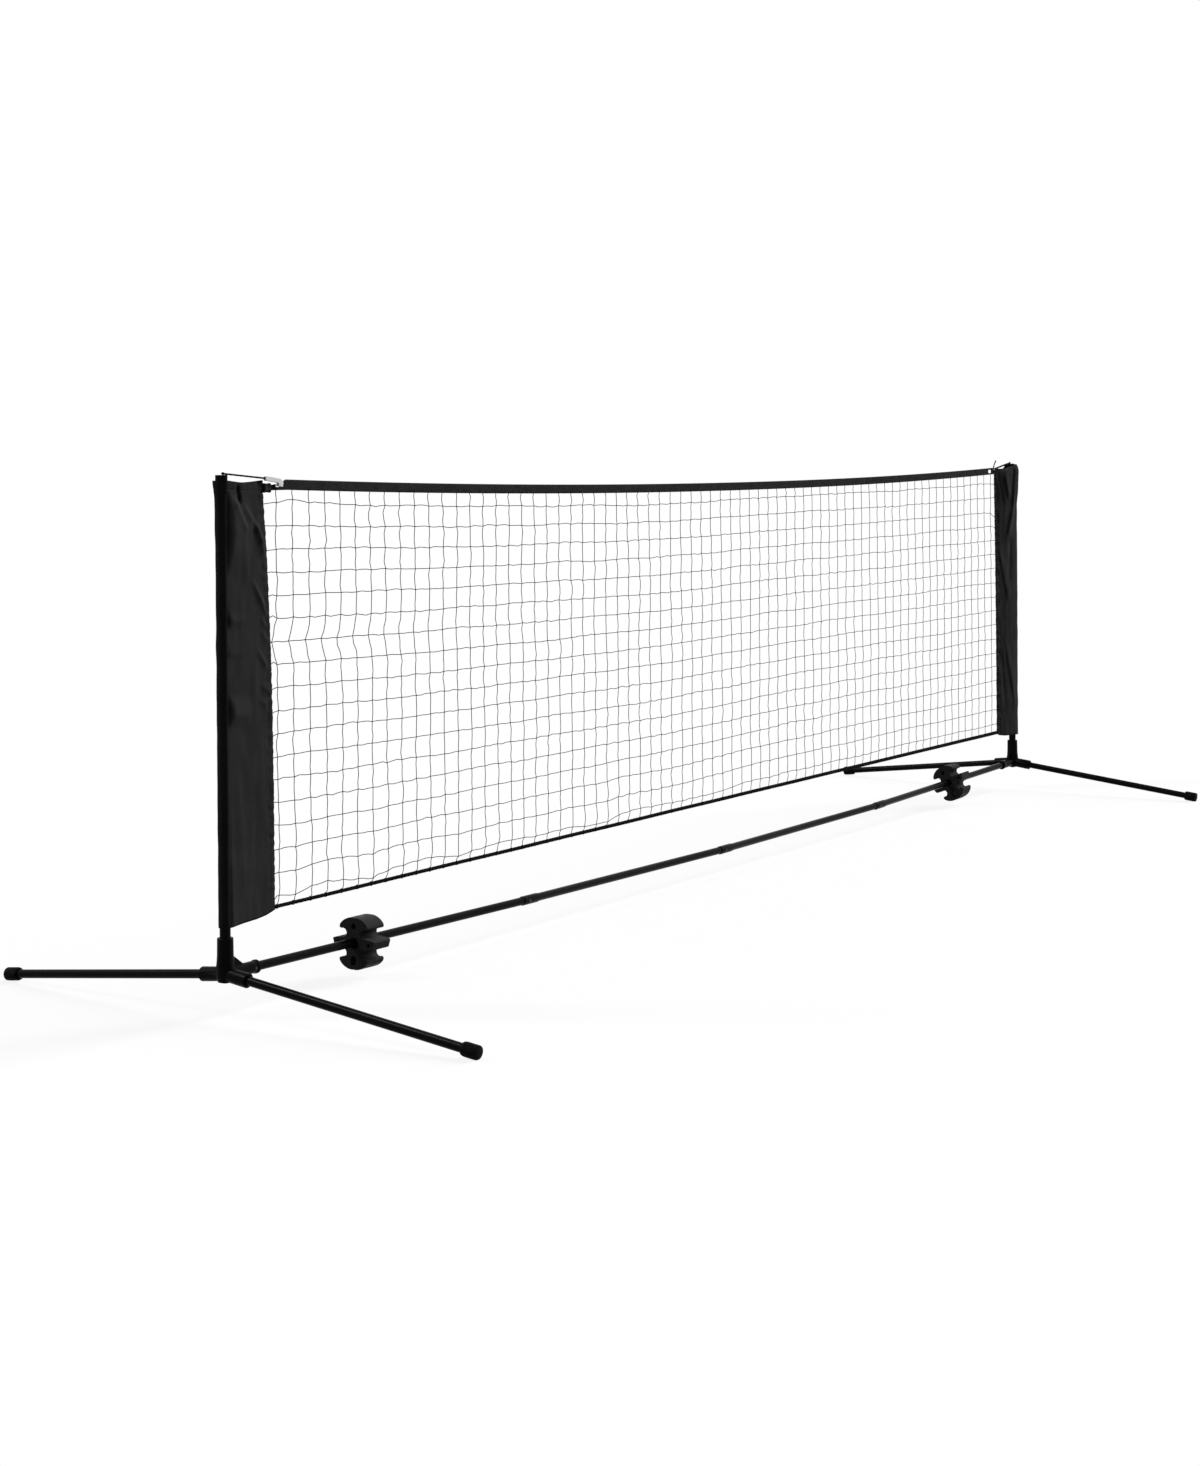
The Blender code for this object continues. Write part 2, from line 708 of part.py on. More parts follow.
# Clip blocks
def clip_half(up):
    """Half of the profile's front side: a head's crown and lip, a pocket and half an arm."""
    width = CLIP_HEAD_HALF_WIDTH
    top = CLIP_HALF_HEIGHT
    grip = BAR_BORE
    mouth = CLIP_POCKET_HALF_MOUTH
    across, height = CLIP_POCKET_CENTRE
    lip = (width - CLIP_LIP_ROUND, height + grip + CLIP_LIP_RISE)
    arm = height - grip - CLIP_ARM_SINK
    reach = CLIP_ARM_HALF_WIDTH - (0 if up > 0 else CLIP_ARM_RAKE)
    tip = (reach - CLIP_ARM_ROUND, arm - CLIP_ARM_ROUND - 0.0016)
    crown = top - lip[1]
    points = [(width * 0.20, top - crown * 0.01), (width * 0.40, top - crown * 0.07),
              (width * 0.62, top - crown * 0.23), (width * 0.80, top - crown * 0.45),
              (width * 0.92, top - crown * 0.67), (width * 0.985, top - crown * 0.85)]
    points += arc(lip, CLIP_LIP_ROUND, 0, -100, 3)
    points += arc((across, height), grip, mouth, 360 - mouth, 11)
    points += [(across + grip * 0.62, arm + 0.0008), (across + grip * 0.86, arm),
               (CLIP_ARM_HALF_WIDTH * 0.82, arm - 0.0004)]
    points += arc(tip, CLIP_ARM_ROUND, 62, 12, 2)
    return [(y, up * z) for y, z in points]


def clip_outline():
    front = clip_half(1) + list(reversed(clip_half(-1)))
    front += [(CLIP_NOTCH_HALF_WIDTH, -CLIP_HALF_HEIGHT),
              (CLIP_NOTCH_HALF_WIDTH * 0.6, -CLIP_HALF_HEIGHT + CLIP_NOTCH_DEPTH)]
    return front + [(-y, z) for y, z in reversed(front)]


def clip_frame(index):
    """The block's frame: local Z along its crossbar section, local Y up its heads."""
    side = SIDES[index]
    section = 0 if side == LEFT else len(BAR_JOINTS)
    frame = bar_frame(section)
    direction = frame.to_3x3().col[2]
    start = frame.translation
    x = side * (HALF_SPACING - CLIP_PLACES[index])
    place = start + direction * ((x - start.x) / direction.x)
    hang = CLIP_BORE_SLACK - CLOTH_GAP
    up = Vector((0, 0, 1))
    across = up.cross(direction).normalized()
    rise = direction.cross(across)
    turn = Matrix((across, rise, direction)).transposed().to_4x4()
    roll = Matrix.Rotation(CLIP_TURNS[index], 4, "Z")
    return Matrix.Translation(place - rise * hang) @ turn @ roll


def make_clip(index):
    name = "clip_block_" + SIDE_NAMES[SIDES[index]]
    slot_low = CLIP_HALF_HEIGHT - CLIP_SLOT_COVER
    slot_high = slot_low - CLIP_SLOT_RUN
    slot = (arc((0, -slot_low), CLIP_SLOT_RADIUS, 180, 360, 7)
            + arc((0, -slot_high), CLIP_SLOT_RADIUS, 0, 180, 7))
    holes = [circle((0, 0), BAR_RADIUS + CLIP_BORE_SLACK, 24),
             circle((0, CLIP_HALF_HEIGHT - CLIP_HOLE_COVER), CLIP_HOLE_RADIUS, 14), slot,
             circle((CLIP_ARM_HOLE_PLACE, 0), CLIP_ARM_HOLE_RADIUS, 10),
             circle((-CLIP_ARM_HOLE_PLACE, 0), CLIP_ARM_HOLE_RADIUS, 10)]
    block = slab(name, [clip_outline(), *holes], CLIP_LENGTH / 2, CHARCOAL, clip_frame(index))
    smooth(block, 40)


# Sleeves
def sleeve_share(side, z):
    """How far up a sleeve a height is, from 0 to 1."""
    rise = SLEEVE_TOPS[side_index(side)] - SLEEVE_BOTTOM
    return min(1.0, max(0.0, (z - SLEEVE_BOTTOM) / rise))


def sleeve_width(side, z):
    """Distance from the post's axis to the sleeve's net edge, at a height above the bores."""
    index = side_index(side)
    return SLEEVE_WIDTHS[index] + SLEEVE_TOP_SHIFTS[index] * sleeve_share(side, z) ** 3


def sleeve_fold(side, x, z, width):
    """How far both layers of the panel stand out of the net's plane."""
    share = sleeve_share(side, z)
    reach = max(0.0, min(1.0, (x - 0.014) / 0.03)) * max(0.0, min(1.0, (width - x) / 0.024))
    slant = x / SLEEVE_FOLD_SPACING + (z - SLEEVE_TOPS[side_index(side)]) / 0.135
    top = max(0.0, (share - 0.66) / 0.34) ** 0.7
    diagonal = math.sin(2 * math.pi * slant + (0.4 if side == LEFT else 2.1))
    lean = 0.25 * math.sin(3.2 * share + side)
    upright = math.sin(2 * math.pi * (x / (SLEEVE_FOLD_SPACING * 1.55) + lean))
    return reach * SLEEVE_FOLD_DEPTH * (top * diagonal + (0.62 - 0.35 * top) * upright)


def sleeve_section(side, level):
    """One level of the sleeve: a loop round the post and along both layers of the panel."""
    index = side_index(side)
    radius = POST_RADIUS + SLEEVE_SLACKS[index] + SLEEVE_FLARES[index] * level ** 24
    lean = SLEEVE_LEANS[index] * level
    half = SLEEVE_PANEL_HALF
    slope = SLEEVE_HEM_SLOPES[index]
    base = SLEEVE_BOTTOM + level * (SLEEVE_TOPS[index] - SLEEVE_BOTTOM)
    layers = []
    for layer in (-1, 1):
        row = []
        for i in range(SLEEVE_STEPS):
            share = 1 - i / SLEEVE_STEPS
            width = sleeve_width(side, base)
            x = radius * 0.55 - lean + (width - radius * 0.55 + lean) * share
            height = base + (1 - level) ** 6 * SLEEVE_CORNER_LIFT * (x / width) ** 2.2
            height -= level ** 12 * (SLEEVE_HEM_DIP * math.sin(math.pi * share) + slope * share)
            spread = half + (radius * 0.84 - half) * (1 - share) ** 2.2
            row.append((x, layer * spread + sleeve_fold(side, x, height, width), height))
        layers.append(row)
    tunnel = [(x, y, base) for x, y in arc((-lean, 0), radius, 302, 58, SLEEVE_ROUND_STEPS)]
    return layers[0] + tunnel + list(reversed(layers[1]))


def make_sleeve(side):
    name = "sleeve_" + SIDE_NAMES[side]
    levels = [sleeve_section(side, i / (SLEEVE_LEVELS - 1)) for i in range(SLEEVE_LEVELS)]
    count = len(levels[0])
    centre = connector_centre(side)
    points = [(centre.x - side * x, y, above_axis(z)) for level in levels for x, y, z in level]
    faces = []
    for row in range(SLEEVE_LEVELS - 1):
        for i in range(count):
            j = (i + 1) % count
            quad = (row * count + i, row * count + j,
                    (row + 1) * count + j, (row + 1) * count + i)
            faces.append(quad if side == LEFT else tuple(reversed(quad)))
    mesh = bpy.data.meshes.new(name)
    mesh.from_pydata(points, [], faces)
    sleeve = add_object(name, mesh, CLOTH)
    shell = sleeve.modifiers.new("cloth", "SOLIDIFY")
    shell.thickness = SLEEVE_CLOTH
    shell.offset = 1.0
    smooth(sleeve, 60)


# Tape, net and bottom cord
def tape_ends(height):
    """World x of the tape's two ends, just clear of the sleeves."""
    return (from_left(sleeve_width(LEFT, height) + CLOTH_GAP + SLEEVE_CLOTH),
            HALF_SPACING - sleeve_width(RIGHT, height) - CLOTH_GAP - SLEEVE_CLOTH)


def tape_line(x):
    """World z of the tape's top edge where it is full height: a shallow hanging curve."""
    share = (x - TAPE_LOW_SHIFT) / (POST_SPACING * 0.462)
    return above_axis(TAPE_TOP_END - TAPE_SAG * (1 - min(1.0, abs(share) ** 2.1)))


def tape_top(x):
    """World z of the top edge, which is gathered down under the hook at the left end."""
    share = (from_left(TAPE_TAPER_PLACE) - x) / TAPE_TAPER_RUN
    share = max(0.0, min(1.0, share))
    return tape_line(x) - TAPE_TAPER_DROP * share * share * (3 - 2 * share)


def tape_places():
    left, right = tape_ends(TAPE_TOP_END - TAPE_HEIGHT)
    close = from_left(TAPE_TAPER_PLACE)
    places = [left + (close - left) * i / 5 for i in range(5)]
    places += [close + (right - close) * i / TAPE_STEPS for i in range(TAPE_STEPS + 1)]
    return places


def make_tape():
    xs = tape_places()
    points = [(x, 0, tape_top(x)) for x in xs]
    points += [(x, 0, tape_line(x) - TAPE_HEIGHT) for x in xs]
    count = len(xs)
    faces = [(i, count + i, count + i + 1, i + 1) for i in range(count - 1)]
    mesh = bpy.data.meshes.new("top_tape")
    mesh.from_pydata(points, [], faces)
    tape = add_object("top_tape", mesh, WEBBING)
    band = tape.modifiers.new("band", "SOLIDIFY")
    band.thickness = TAPE_THICKNESS
    band.offset = 0.0
    for side, length, height in zip(SIDES, TAPE_SLOT_LENGTHS, TAPE_SLOT_HEIGHTS):
        cut(tape, make_slot_cutter(side, length, height))
    smooth(tape)


def slot_centre(side):
    return by_post(side, *TAPE_SLOT_PLACES[side_index(side)])


def make_slot_cutter(side, length, height):
    radius = height / 2
    reach = length / 2 - radius
    outline = arc((reach, 0), radius, -90, 90, 6) + arc((-reach, 0), radius, 90, 270, 6)
    turn = Matrix.Rotation(math.radians(90), 4, "X")
    return slab("tape_slot_" + SIDE_NAMES[side], [outline], 0.01, None,
                Matrix.Translation(slot_centre(side)) @ turn)


def make_loop():
    """The webbing loop round the gathered end of the tape, by the left sleeve's corner."""
    left = tape_ends(TAPE_TOP_END - TAPE_HEIGHT)[0]
    x = left + LOOP_PLACE
    low = tape_line(x) - TAPE_HEIGHT - CLOTH_GAP - LOOP_THICKNESS / 2
    high = low + LOOP_HEIGHT
    middle = (low + high) / 2
    half_y = LOOP_DEPTH / 2
    half_z = LOOP_HEIGHT / 2
    corner = half_y * 0.85
    path = []
    for centre, start in (((half_z - corner, half_y - corner), 0),
                          ((-half_z + corner, half_y - corner), 90),
                          ((-half_z + corner, -half_y + corner), 180),
                          ((half_z - corner, -half_y + corner), 270)):
        path += arc(centre, corner, start, start + 90, 3)
    frame = button_frame((x, 0, middle), (0, 0, 1), (0, -1, 0))
    loop = ribbon("tape_loop_left", path, LOOP_LENGTH, LOOP_THICKNESS, WEBBING, frame,
                  closed=True)
    smooth(loop)


def make_net():
    """A knotted grid that hangs from the tape to the bottom cord, between the sleeves."""
    clear = NET_TWINE / 2 + CLOTH_GAP
    low = above_axis(CORD_HEIGHT) + CORD_RADIUS + clear
    first, last = tape_ends(TAPE_TOP_END - TAPE_HEIGHT)
    points = []
    for row in range(NET_ROWS + 1):
        down = row / NET_ROWS
        for column in range(NET_COLUMNS + 1):
            across = column / NET_COLUMNS
            high = tape_line(first + across * (last - first)) - TAPE_HEIGHT - clear
            if column in (0, NET_COLUMNS):
                high -= NET_CORNER_DROP
            z = high + (low - high) * down
            left = from_left(sleeve_width(LEFT, z - AXIS_HEIGHT) + NET_SIDE_GAP + clear)
            right = HALF_SPACING - sleeve_width(RIGHT, z - AXIS_HEIGHT) - NET_SIDE_GAP - clear
            points.append((left + (right - left) * across, 0, z))
    wide = NET_COLUMNS + 1
    faces = [(row * wide + i, row * wide + i + 1, (row + 1) * wide + i + 1,
              (row + 1) * wide + i) for row in range(NET_ROWS) for i in range(NET_COLUMNS)]
    mesh = bpy.data.meshes.new("net_mesh")
    mesh.from_pydata(points, [], faces)
    net = add_object("net_mesh", mesh, TWINE)
    strands = net.modifiers.new("strands", "WIREFRAME")
    strands.thickness = NET_TWINE
    strands.offset = 0.0
    strands.use_boundary = True
    strands.use_replace = True
    strands.use_even_offset = True
    strands.use_relative_offset = False


def make_bottom_cord():
    height = CORD_HEIGHT
    left, right = tape_ends(height)
    steps = 8
    points = [Vector((left + (right - left) * i / steps, 0, above_axis(height)))
              for i in range(steps + 1)]
    made = cord("bottom_cord", points, CORD_RADIUS, ROPE)
    smooth(made)


# Tension cords and hook
def knot_seat(side):
    """Centre of the knot that rests in a post cap's recess."""
    deck = POST_HEIGHT + SEAT_GAP + POST_CAP_DECK
    shift = Vector((-side * KNOT_SHIFT, 0, deck + SEAT_GAP + KNOT_RADIUS))
    return connector_centre(side) + shift


def hook_frame():
    """The hook's frame: local X along its body to the right, local Y up, local Z forwards."""
    back = Vector((0, -TAPE_THICKNESS / 2 - CLOTH_GAP, 0))
    place = Matrix.Translation(by_post(LEFT, *HOOK_PLACE) + back)
    return (place @ Matrix.Rotation(HOOK_LEAN, 4, "Y")
            @ Matrix.Rotation(math.radians(90), 4, "X"))


def make_hook():
    frame = hook_frame()
    forward = Matrix.Translation((0, 0, HOOK_DEPTH / 2))
    ease = HOOK_CORNER
    left = -HOOK_LENGTH + ease
    foot = -HOOK_DROP + ease
    outline = arc((left, -HOOK_HEIGHT + ease), ease, 270, 180, 2)
    outline += arc((left, -ease), ease, 180, 90, 2)
    outline += [(-HOOK_HEIGHT - ease, 0), (-ease, -HOOK_HEIGHT * 0.45), (0, -HOOK_HEIGHT * 0.8)]
    outline += arc((-ease, foot), ease, 0, -90, 2)
    outline += arc((-HOOK_LEG_WIDTH + ease, foot), ease, 270, 180, 2)
    outline += [(-HOOK_LEG_WIDTH, -HOOK_HEIGHT - ease), (-HOOK_LEG_WIDTH - ease, -HOOK_HEIGHT)]
    body = slab("tension_hook", [outline], HOOK_DEPTH / 2, WHITE, frame @ forward)
    toe = box("tension_hook_toe",
              (-HOOK_LEG_WIDTH + 0.001, -HOOK_DROP + 0.0006, -HOOK_TOE_REACH),
              (-0.0015, -HOOK_DROP + 0.0006 + HOOK_TOE_HEIGHT, HOOK_DEPTH / 2), None, frame)
    join(body, toe)
    eye = hook_eye()
    bore = rod("tension_hook_eye", TIE_RADIUS + SEAT_GAP, -0.01, HOOK_EYE_DEPTH,
               along(eye, eye - knot_seat(LEFT)), sides=12)
    cut(body, bore)
    edge = body.modifiers.new("edges", "BEVEL")
    edge.width = HOOK_EDGE
    edge.segments = 1
    edge.limit_method = "ANGLE"
    edge.angle_limit = math.radians(60)
    smooth(body)


def hook_eye():
    return hook_frame() @ Vector((-HOOK_LENGTH, -HOOK_HEIGHT / 2, HOOK_DEPTH / 2))


def make_left_tie():
    """The cord from the left post's cap into the hook's eye."""
    start = knot_seat(LEFT)
    end = hook_eye()
    run = (end - start).normalized()
    points = [start, start + run * 0.012, start.lerp(end, 0.5), end - run * 0.004,
              end + run * (HOOK_EYE_DEPTH - SEAT_GAP)]
    tie = cord("tie_cord_left", points, TIE_RADIUS, ROPE)
    join(tie, ball("tie_cord_left_knot", KNOT_RADIUS, Matrix.Translation(start), sides=12))
    smooth(tie)


def right_knot():
    forward = TAPE_THICKNESS / 2 + CLOTH_GAP + KNOT_RADIUS
    return by_post(RIGHT, *TIE_KNOT_PLACE) - Vector((0, forward, 0))


def make_right_tie():
    """The doubled cord from the right post's cap, knotted by the tape's end, with its tail."""
    start = knot_seat(RIGHT)
    knot = right_knot()
    spread = Vector((0, TIE_RADIUS + 0.0006, 0))
    strands = []
    for sign, label in ((-1, "front"), (1, "rear")):
        points = [start, start.lerp(knot, 0.2) + spread * sign,
                  start.lerp(knot, 0.5) + spread * sign, start.lerp(knot, 0.8) + spread * sign,
                  knot]
        strands.append(cord("tie_cord_right_" + label, smooth_route(points, 2), TIE_RADIUS,
                            None))
    tail = [knot, knot + Vector((0.003, -0.001, 0.007)), knot + Vector((0.009, -0.001, 0.015)),
            knot + Vector((0.016, 0, 0.021))]
    tie = cord("tie_cord_right", smooth_route(tail, 2), TIE_RADIUS, ROPE)
    balls = [ball("tie_cord_right_knot", KNOT_RADIUS, Matrix.Translation(knot), sides=12),
             ball("tie_cord_right_stop", KNOT_RADIUS, Matrix.Translation(start), sides=12)]
    join(tie, *strands, *balls)
    smooth(tie)


for SIDE in SIDES:
    make_connector(SIDE)
    for END, LABEL in ((-1, "front"), (1, "rear")):
        make_foot(SIDE, END, LABEL)
    make_post(SIDE)
    make_post_cap(SIDE)
    make_sleeve(SIDE)
make_crossbar()
for INDEX in range(len(CLIP_PLACES)):
    make_clip(INDEX)
make_tape()
make_loop()
make_net()
make_bottom_cord()
make_hook()
make_left_tie()
make_right_tie()
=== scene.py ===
"""Looks of the multisport net: finishes, cloth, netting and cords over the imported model."""
import math

import bpy
from mathutils import Matrix, Vector, noise


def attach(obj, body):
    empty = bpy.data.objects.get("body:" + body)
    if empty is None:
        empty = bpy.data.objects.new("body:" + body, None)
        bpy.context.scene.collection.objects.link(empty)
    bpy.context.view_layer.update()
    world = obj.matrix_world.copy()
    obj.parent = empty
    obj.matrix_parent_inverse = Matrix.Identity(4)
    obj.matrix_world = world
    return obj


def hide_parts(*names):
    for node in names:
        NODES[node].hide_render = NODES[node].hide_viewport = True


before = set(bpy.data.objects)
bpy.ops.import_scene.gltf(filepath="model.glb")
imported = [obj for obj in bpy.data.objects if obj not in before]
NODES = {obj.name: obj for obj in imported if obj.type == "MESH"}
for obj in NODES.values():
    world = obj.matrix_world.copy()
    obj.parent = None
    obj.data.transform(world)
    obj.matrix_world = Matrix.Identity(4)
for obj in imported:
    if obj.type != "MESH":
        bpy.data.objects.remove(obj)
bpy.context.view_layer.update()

# Sizes that the model's source uses too
HALF_SPACING = 1.625
AXIS_HEIGHT = 0.073306
POST_HEIGHT = 0.8425
POST_RADIUS = 0.0095
SLEEVE_BOTTOM = 0.079
SLEEVE_TOPS = (0.841, 0.849)
SLEEVE_HEM_SLOPES = (0.0004, 0.0115)
SLEEVE_WIDTHS = (0.1254, 0.1035)
SLEEVE_TOP_SHIFTS = (-0.0245, 0.0085)
SLEEVE_CLOTH = 0.0008
TAPE_HEIGHT = 0.0185
TAPE_THICKNESS = 0.0024
TAPE_TOP = 0.8410
TAPE_SAG = 0.0245
TAPE_LOW_SHIFT = 0.045
CORD_HEIGHT = 0.0937
CORD_RADIUS = 0.003
TIE_RADIUS = 0.0016
KNOT_SHIFT = 0.0038
KNOT_RADIUS = 0.0035
CAP_DECK = 0.0068
LEFT, RIGHT = -1, 1
SIDE_NAMES = {LEFT: "left", RIGHT: "right"}

# Studio: a tall soft light far off to the right, and a strip above and behind that rims the tubes.
# Each lamp's place, what it faces, its size, its power and whether gloss mirrors it
FLOOR_SIZE = 60.0
FLOOR_HEIGHT = -0.0005
FLOOR_SHADE = 0.06
FLOOR_BOUNCE = 0.14
AMBIENT = 0.10
LAMPS = [("softbox", (49.0, -16.5, 30.0), (0, 0, 0.4), (18.0, 40.0), 122000, False),
         ("rim_strip", (-5.2, 6.3, 9.5), (-0.8, -0.2, 0.1), (1.3, 7.4), 1000, True)]


def side_index(side):
    return (LEFT, RIGHT).index(side)


def from_left(x):
    """World x of a distance measured from the left post's axis."""
    return x - HALF_SPACING


def above_axis(z):
    """World z of a height measured from the connectors' bores."""
    return z + AXIS_HEIGHT


def by_post(side, inwards, below_top):
    """A point in the net's plane, from a post towards the net and down from the post's top."""
    return Vector((side * (HALF_SPACING - inwards), 0, above_axis(POST_HEIGHT - below_top)))


def eased(share):
    share = max(0.0, min(1.0, share))
    return share * share * (3 - 2 * share)


def between(places, x):
    """Reads a value at x from (x, value) pairs, with straight lines between them."""
    if x <= places[0][0]:
        return places[0][1]
    for (x0, v0), (x1, v1) in zip(places, places[1:]):
        if x <= x1:
            return v0 + (v1 - v0) * (x - x0) / (x1 - x0)
    return places[-1][1]


def smooth_route(points, per_span):
    """A smooth curve through chosen points, read at even steps."""
    held = [points[0], *points, points[-1]]
    route = []
    for a, b, c, d in zip(held, held[1:], held[2:], held[3:]):
        for i in range(per_span):
            t = i / per_span
            route.append(0.5 * (2 * b + (c - a) * t + (2 * a - 5 * b + 4 * c - d) * t * t
                                + (3 * b - a - 3 * c + d) * t * t * t))
    route.append(points[-1])
    return route


# Camera, solved from the photograph: its place above the bores, turn, focal length and horizon.
# The last three are in the photograph's pixels
CAMERA_PLACE = (-4.5777, -2.7679, 0.87258)
CAMERA_TURN = (0.97783, 0.00375, -0.00784)
FOCAL_LENGTH = 2344.96
HORIZON = 467.89
PHOTO_HEIGHT = 1466


def make_camera():
    """The photograph's view: low, from the front left, with the far post well beyond."""
    yaw, pitch, roll = CAMERA_TURN
    forward = Vector((math.sin(yaw), math.cos(yaw), 0))
    right = Vector((math.cos(yaw), -math.sin(yaw), 0))
    up = Vector((0, 0, 1))
    aim = forward * math.cos(pitch) - up * math.sin(pitch)
    lift = up * math.cos(pitch) + forward * math.sin(pitch)
    x_axis = right * math.cos(roll) + lift * math.sin(roll)
    y_axis = lift * math.cos(roll) - right * math.sin(roll)
    data = bpy.data.cameras.new("camera")
    data.sensor_width = 36
    data.sensor_fit = "AUTO"
    data.lens = FOCAL_LENGTH / PHOTO_HEIGHT * data.sensor_width
    data.shift_y = -(PHOTO_HEIGHT / 2 - HORIZON) / PHOTO_HEIGHT
    camera = bpy.data.objects.new("camera", data)
    bpy.context.scene.collection.objects.link(camera)
    place = Matrix((x_axis, y_axis, -aim)).transposed().to_4x4()
    x, y, z = CAMERA_PLACE
    place.translation = Vector((x, y, above_axis(z)))
    camera.matrix_world = place
    bpy.context.scene.camera = camera


# Materials
def computed(tree, operation, first, second):
    """A math node of two inputs, each a socket or a number."""
    step = tree.nodes.new("ShaderNodeMath")
    step.operation = operation
    for socket, value in zip(step.inputs, (first, second)):
        if isinstance(value, (int, float)):
            socket.default_value = value
        else:
            tree.links.new(value, socket)
    return step.outputs[0]


class Finish:
    """A material's node tree, with short ways to add what its shader needs."""

    def __init__(self, name, colour, roughness, metallic=0.0, shine=0.5):
        self.material = bpy.data.materials.new(name)
        self.material.use_nodes = True
        self.tree = self.material.node_tree
        self.shader = self.tree.nodes["Principled BSDF"]
        self.colour = colour
        self.shader.inputs["Base Color"].default_value = (*colour, 1)
        self.shader.inputs["Roughness"].default_value = roughness
        self.shader.inputs["Metallic"].default_value = metallic
        self.shader.inputs["Specular IOR Level"].default_value = shine
        self.normal = None
        self.place = self.node("ShaderNodeTexCoord").outputs["Object"]

    def node(self, kind, **settings):
        made = self.tree.nodes.new(kind)
        for key, value in settings.items():
            setattr(made, key, value)
        return made

    def link(self, start, end):
        self.tree.links.new(start, end)

    def stretched(self, scale, turn=(0, 0, 0)):
        """Object coordinates scaled and turned, in metres times scale."""
        mapping = self.node("ShaderNodeMapping")
        mapping.inputs["Scale"].default_value = scale
        mapping.inputs["Rotation"].default_value = turn
        self.link(self.place, mapping.inputs["Vector"])
        return mapping.outputs["Vector"]

    def grain(self, scale, detail, stretch=(1, 1, 1)):
        """Cloudy noise, stretched along an axis where that axis's share is below 1."""
        texture = self.node("ShaderNodeTexNoise")
        texture.inputs["Scale"].default_value = scale
        texture.inputs["Detail"].default_value = detail
        texture.inputs["Roughness"].default_value = 0.55
        self.link(self.stretched(stretch), texture.inputs["Vector"])
        return texture.outputs["Fac"]

    def bands(self, scale, direction, turn=(0, 0, 0), distortion=0.0):
        """Rows of soft stripes, as yarns or ribs lie."""
        texture = self.node("ShaderNodeTexWave", wave_type="BANDS", bands_direction=direction,
                            wave_profile="SIN")
        texture.inputs["Scale"].default_value = scale
        texture.inputs["Distortion"].default_value = distortion
        self.link(self.stretched((1, 1, 1), turn), texture.inputs["Vector"])
        return texture.outputs["Fac"]

    def ranged(self, source, low, high):
        """The middle part of a noise's range, spread from a low value to a high one."""
        made = self.node("ShaderNodeMapRange")
        for name, value in (("From Min", 0.35), ("From Max", 0.65), ("To Min", low),
                            ("To Max", high)):
            made.inputs[name].default_value = value
        self.link(source, made.inputs["Value"])
        return made.outputs["Result"]

    def tint(self, source, other):
        """Blends the base colour towards another where the source is high."""
        mix = self.node("ShaderNodeMix", data_type="RGBA")
        self.link(self.ranged(source, 0, 1), mix.inputs["Factor"])
        mix.inputs["A"].default_value = (*self.colour, 1)
        mix.inputs["B"].default_value = (*other, 1)
        self.link(mix.outputs["Result"], self.shader.inputs["Base Color"])

    def rough(self, source, low, high):
        self.link(self.ranged(source, low, high), self.shader.inputs["Roughness"])

    def eased_edges(self, radius):
        """Rounds the light over sharp edges, as a moulding has."""
        bevel = self.node("ShaderNodeBevel", samples=4)
        bevel.inputs["Radius"].default_value = radius
        self.normal = bevel.outputs["Normal"]
        self.link(self.normal, self.shader.inputs["Normal"])

    def bump(self, source, distance, strength):
        made = self.node("ShaderNodeBump")
        made.inputs["Strength"].default_value = strength
        made.inputs["Distance"].default_value = distance
        self.link(source, made.inputs["Height"])
        if self.normal is not None:
            self.link(self.normal, made.inputs["Normal"])
        self.normal = made.outputs["Normal"]
        self.link(self.normal, self.shader.inputs["Normal"])


def steel_finish():
    """Satin black coating over drawn tube: a slight orange peel and cloudy patches."""
    made = Finish("coated_steel", (0.0020, 0.0020, 0.0022), 0.20, shine=0.03)
    made.tint(made.grain(9, 5), (0.0036, 0.0036, 0.0039))
    made.rough(made.grain(14, 3), 0.22, 0.27)
    made.bump(made.grain(60, 2), 0.00001, 0.3)
    return made.material


def plastic_finish():
    """Injection-moulded black plastic: smooth, with a faint satin cloud and soft edges."""
    made = Finish("moulded_plastic", (0.0020, 0.0020, 0.0021), 0.3, shine=0.025)
    made.eased_edges(0.0006)
    made.tint(made.grain(35, 4), (0.0036, 0.0036, 0.0038))
    made.rough(made.grain(90, 5), 0.24, 0.42)
    made.bump(made.grain(900, 3), 0.00005, 0.6)
    return made.material


def rubber_finish():
    made = Finish("cap_rubber", (0.0030, 0.0030, 0.0031), 0.6, shine=0.03)
    made.eased_edges(0.0008)
    made.tint(made.grain(70, 6), (0.0060, 0.0059, 0.0058))
    made.rough(made.grain(150, 5), 0.55, 0.85)
    made.bump(made.grain(1100, 4), 0.00012, 0.7)
    return made.material


def charcoal_finish():
    """Sawn and tumbled extrusion: charcoal, with fine grain and draw lines along it."""
    made = Finish("charcoal_plastic", (0.0160, 0.0160, 0.0167), 0.52, shine=0.02)
    made.eased_edges(0.0008)
    made.tint(made.grain(55, 6), (0.0175, 0.0175, 0.0183))
    made.rough(made.grain(120, 5), 0.38, 0.62)
    made.bump(made.grain(700, 4, (0.25, 1, 1)), 0.00012, 0.6)
    return made.material


def spring_finish():
    made = Finish("dull_steel", (0.060, 0.060, 0.062), 0.40, metallic=1.0)
    made.tint(made.grain(300, 3), (0.035, 0.035, 0.037))
    made.rough(made.grain(500, 3), 0.34, 0.50)
    made.bump(made.grain(1500, 2), 0.00003, 0.4)
    return made.material


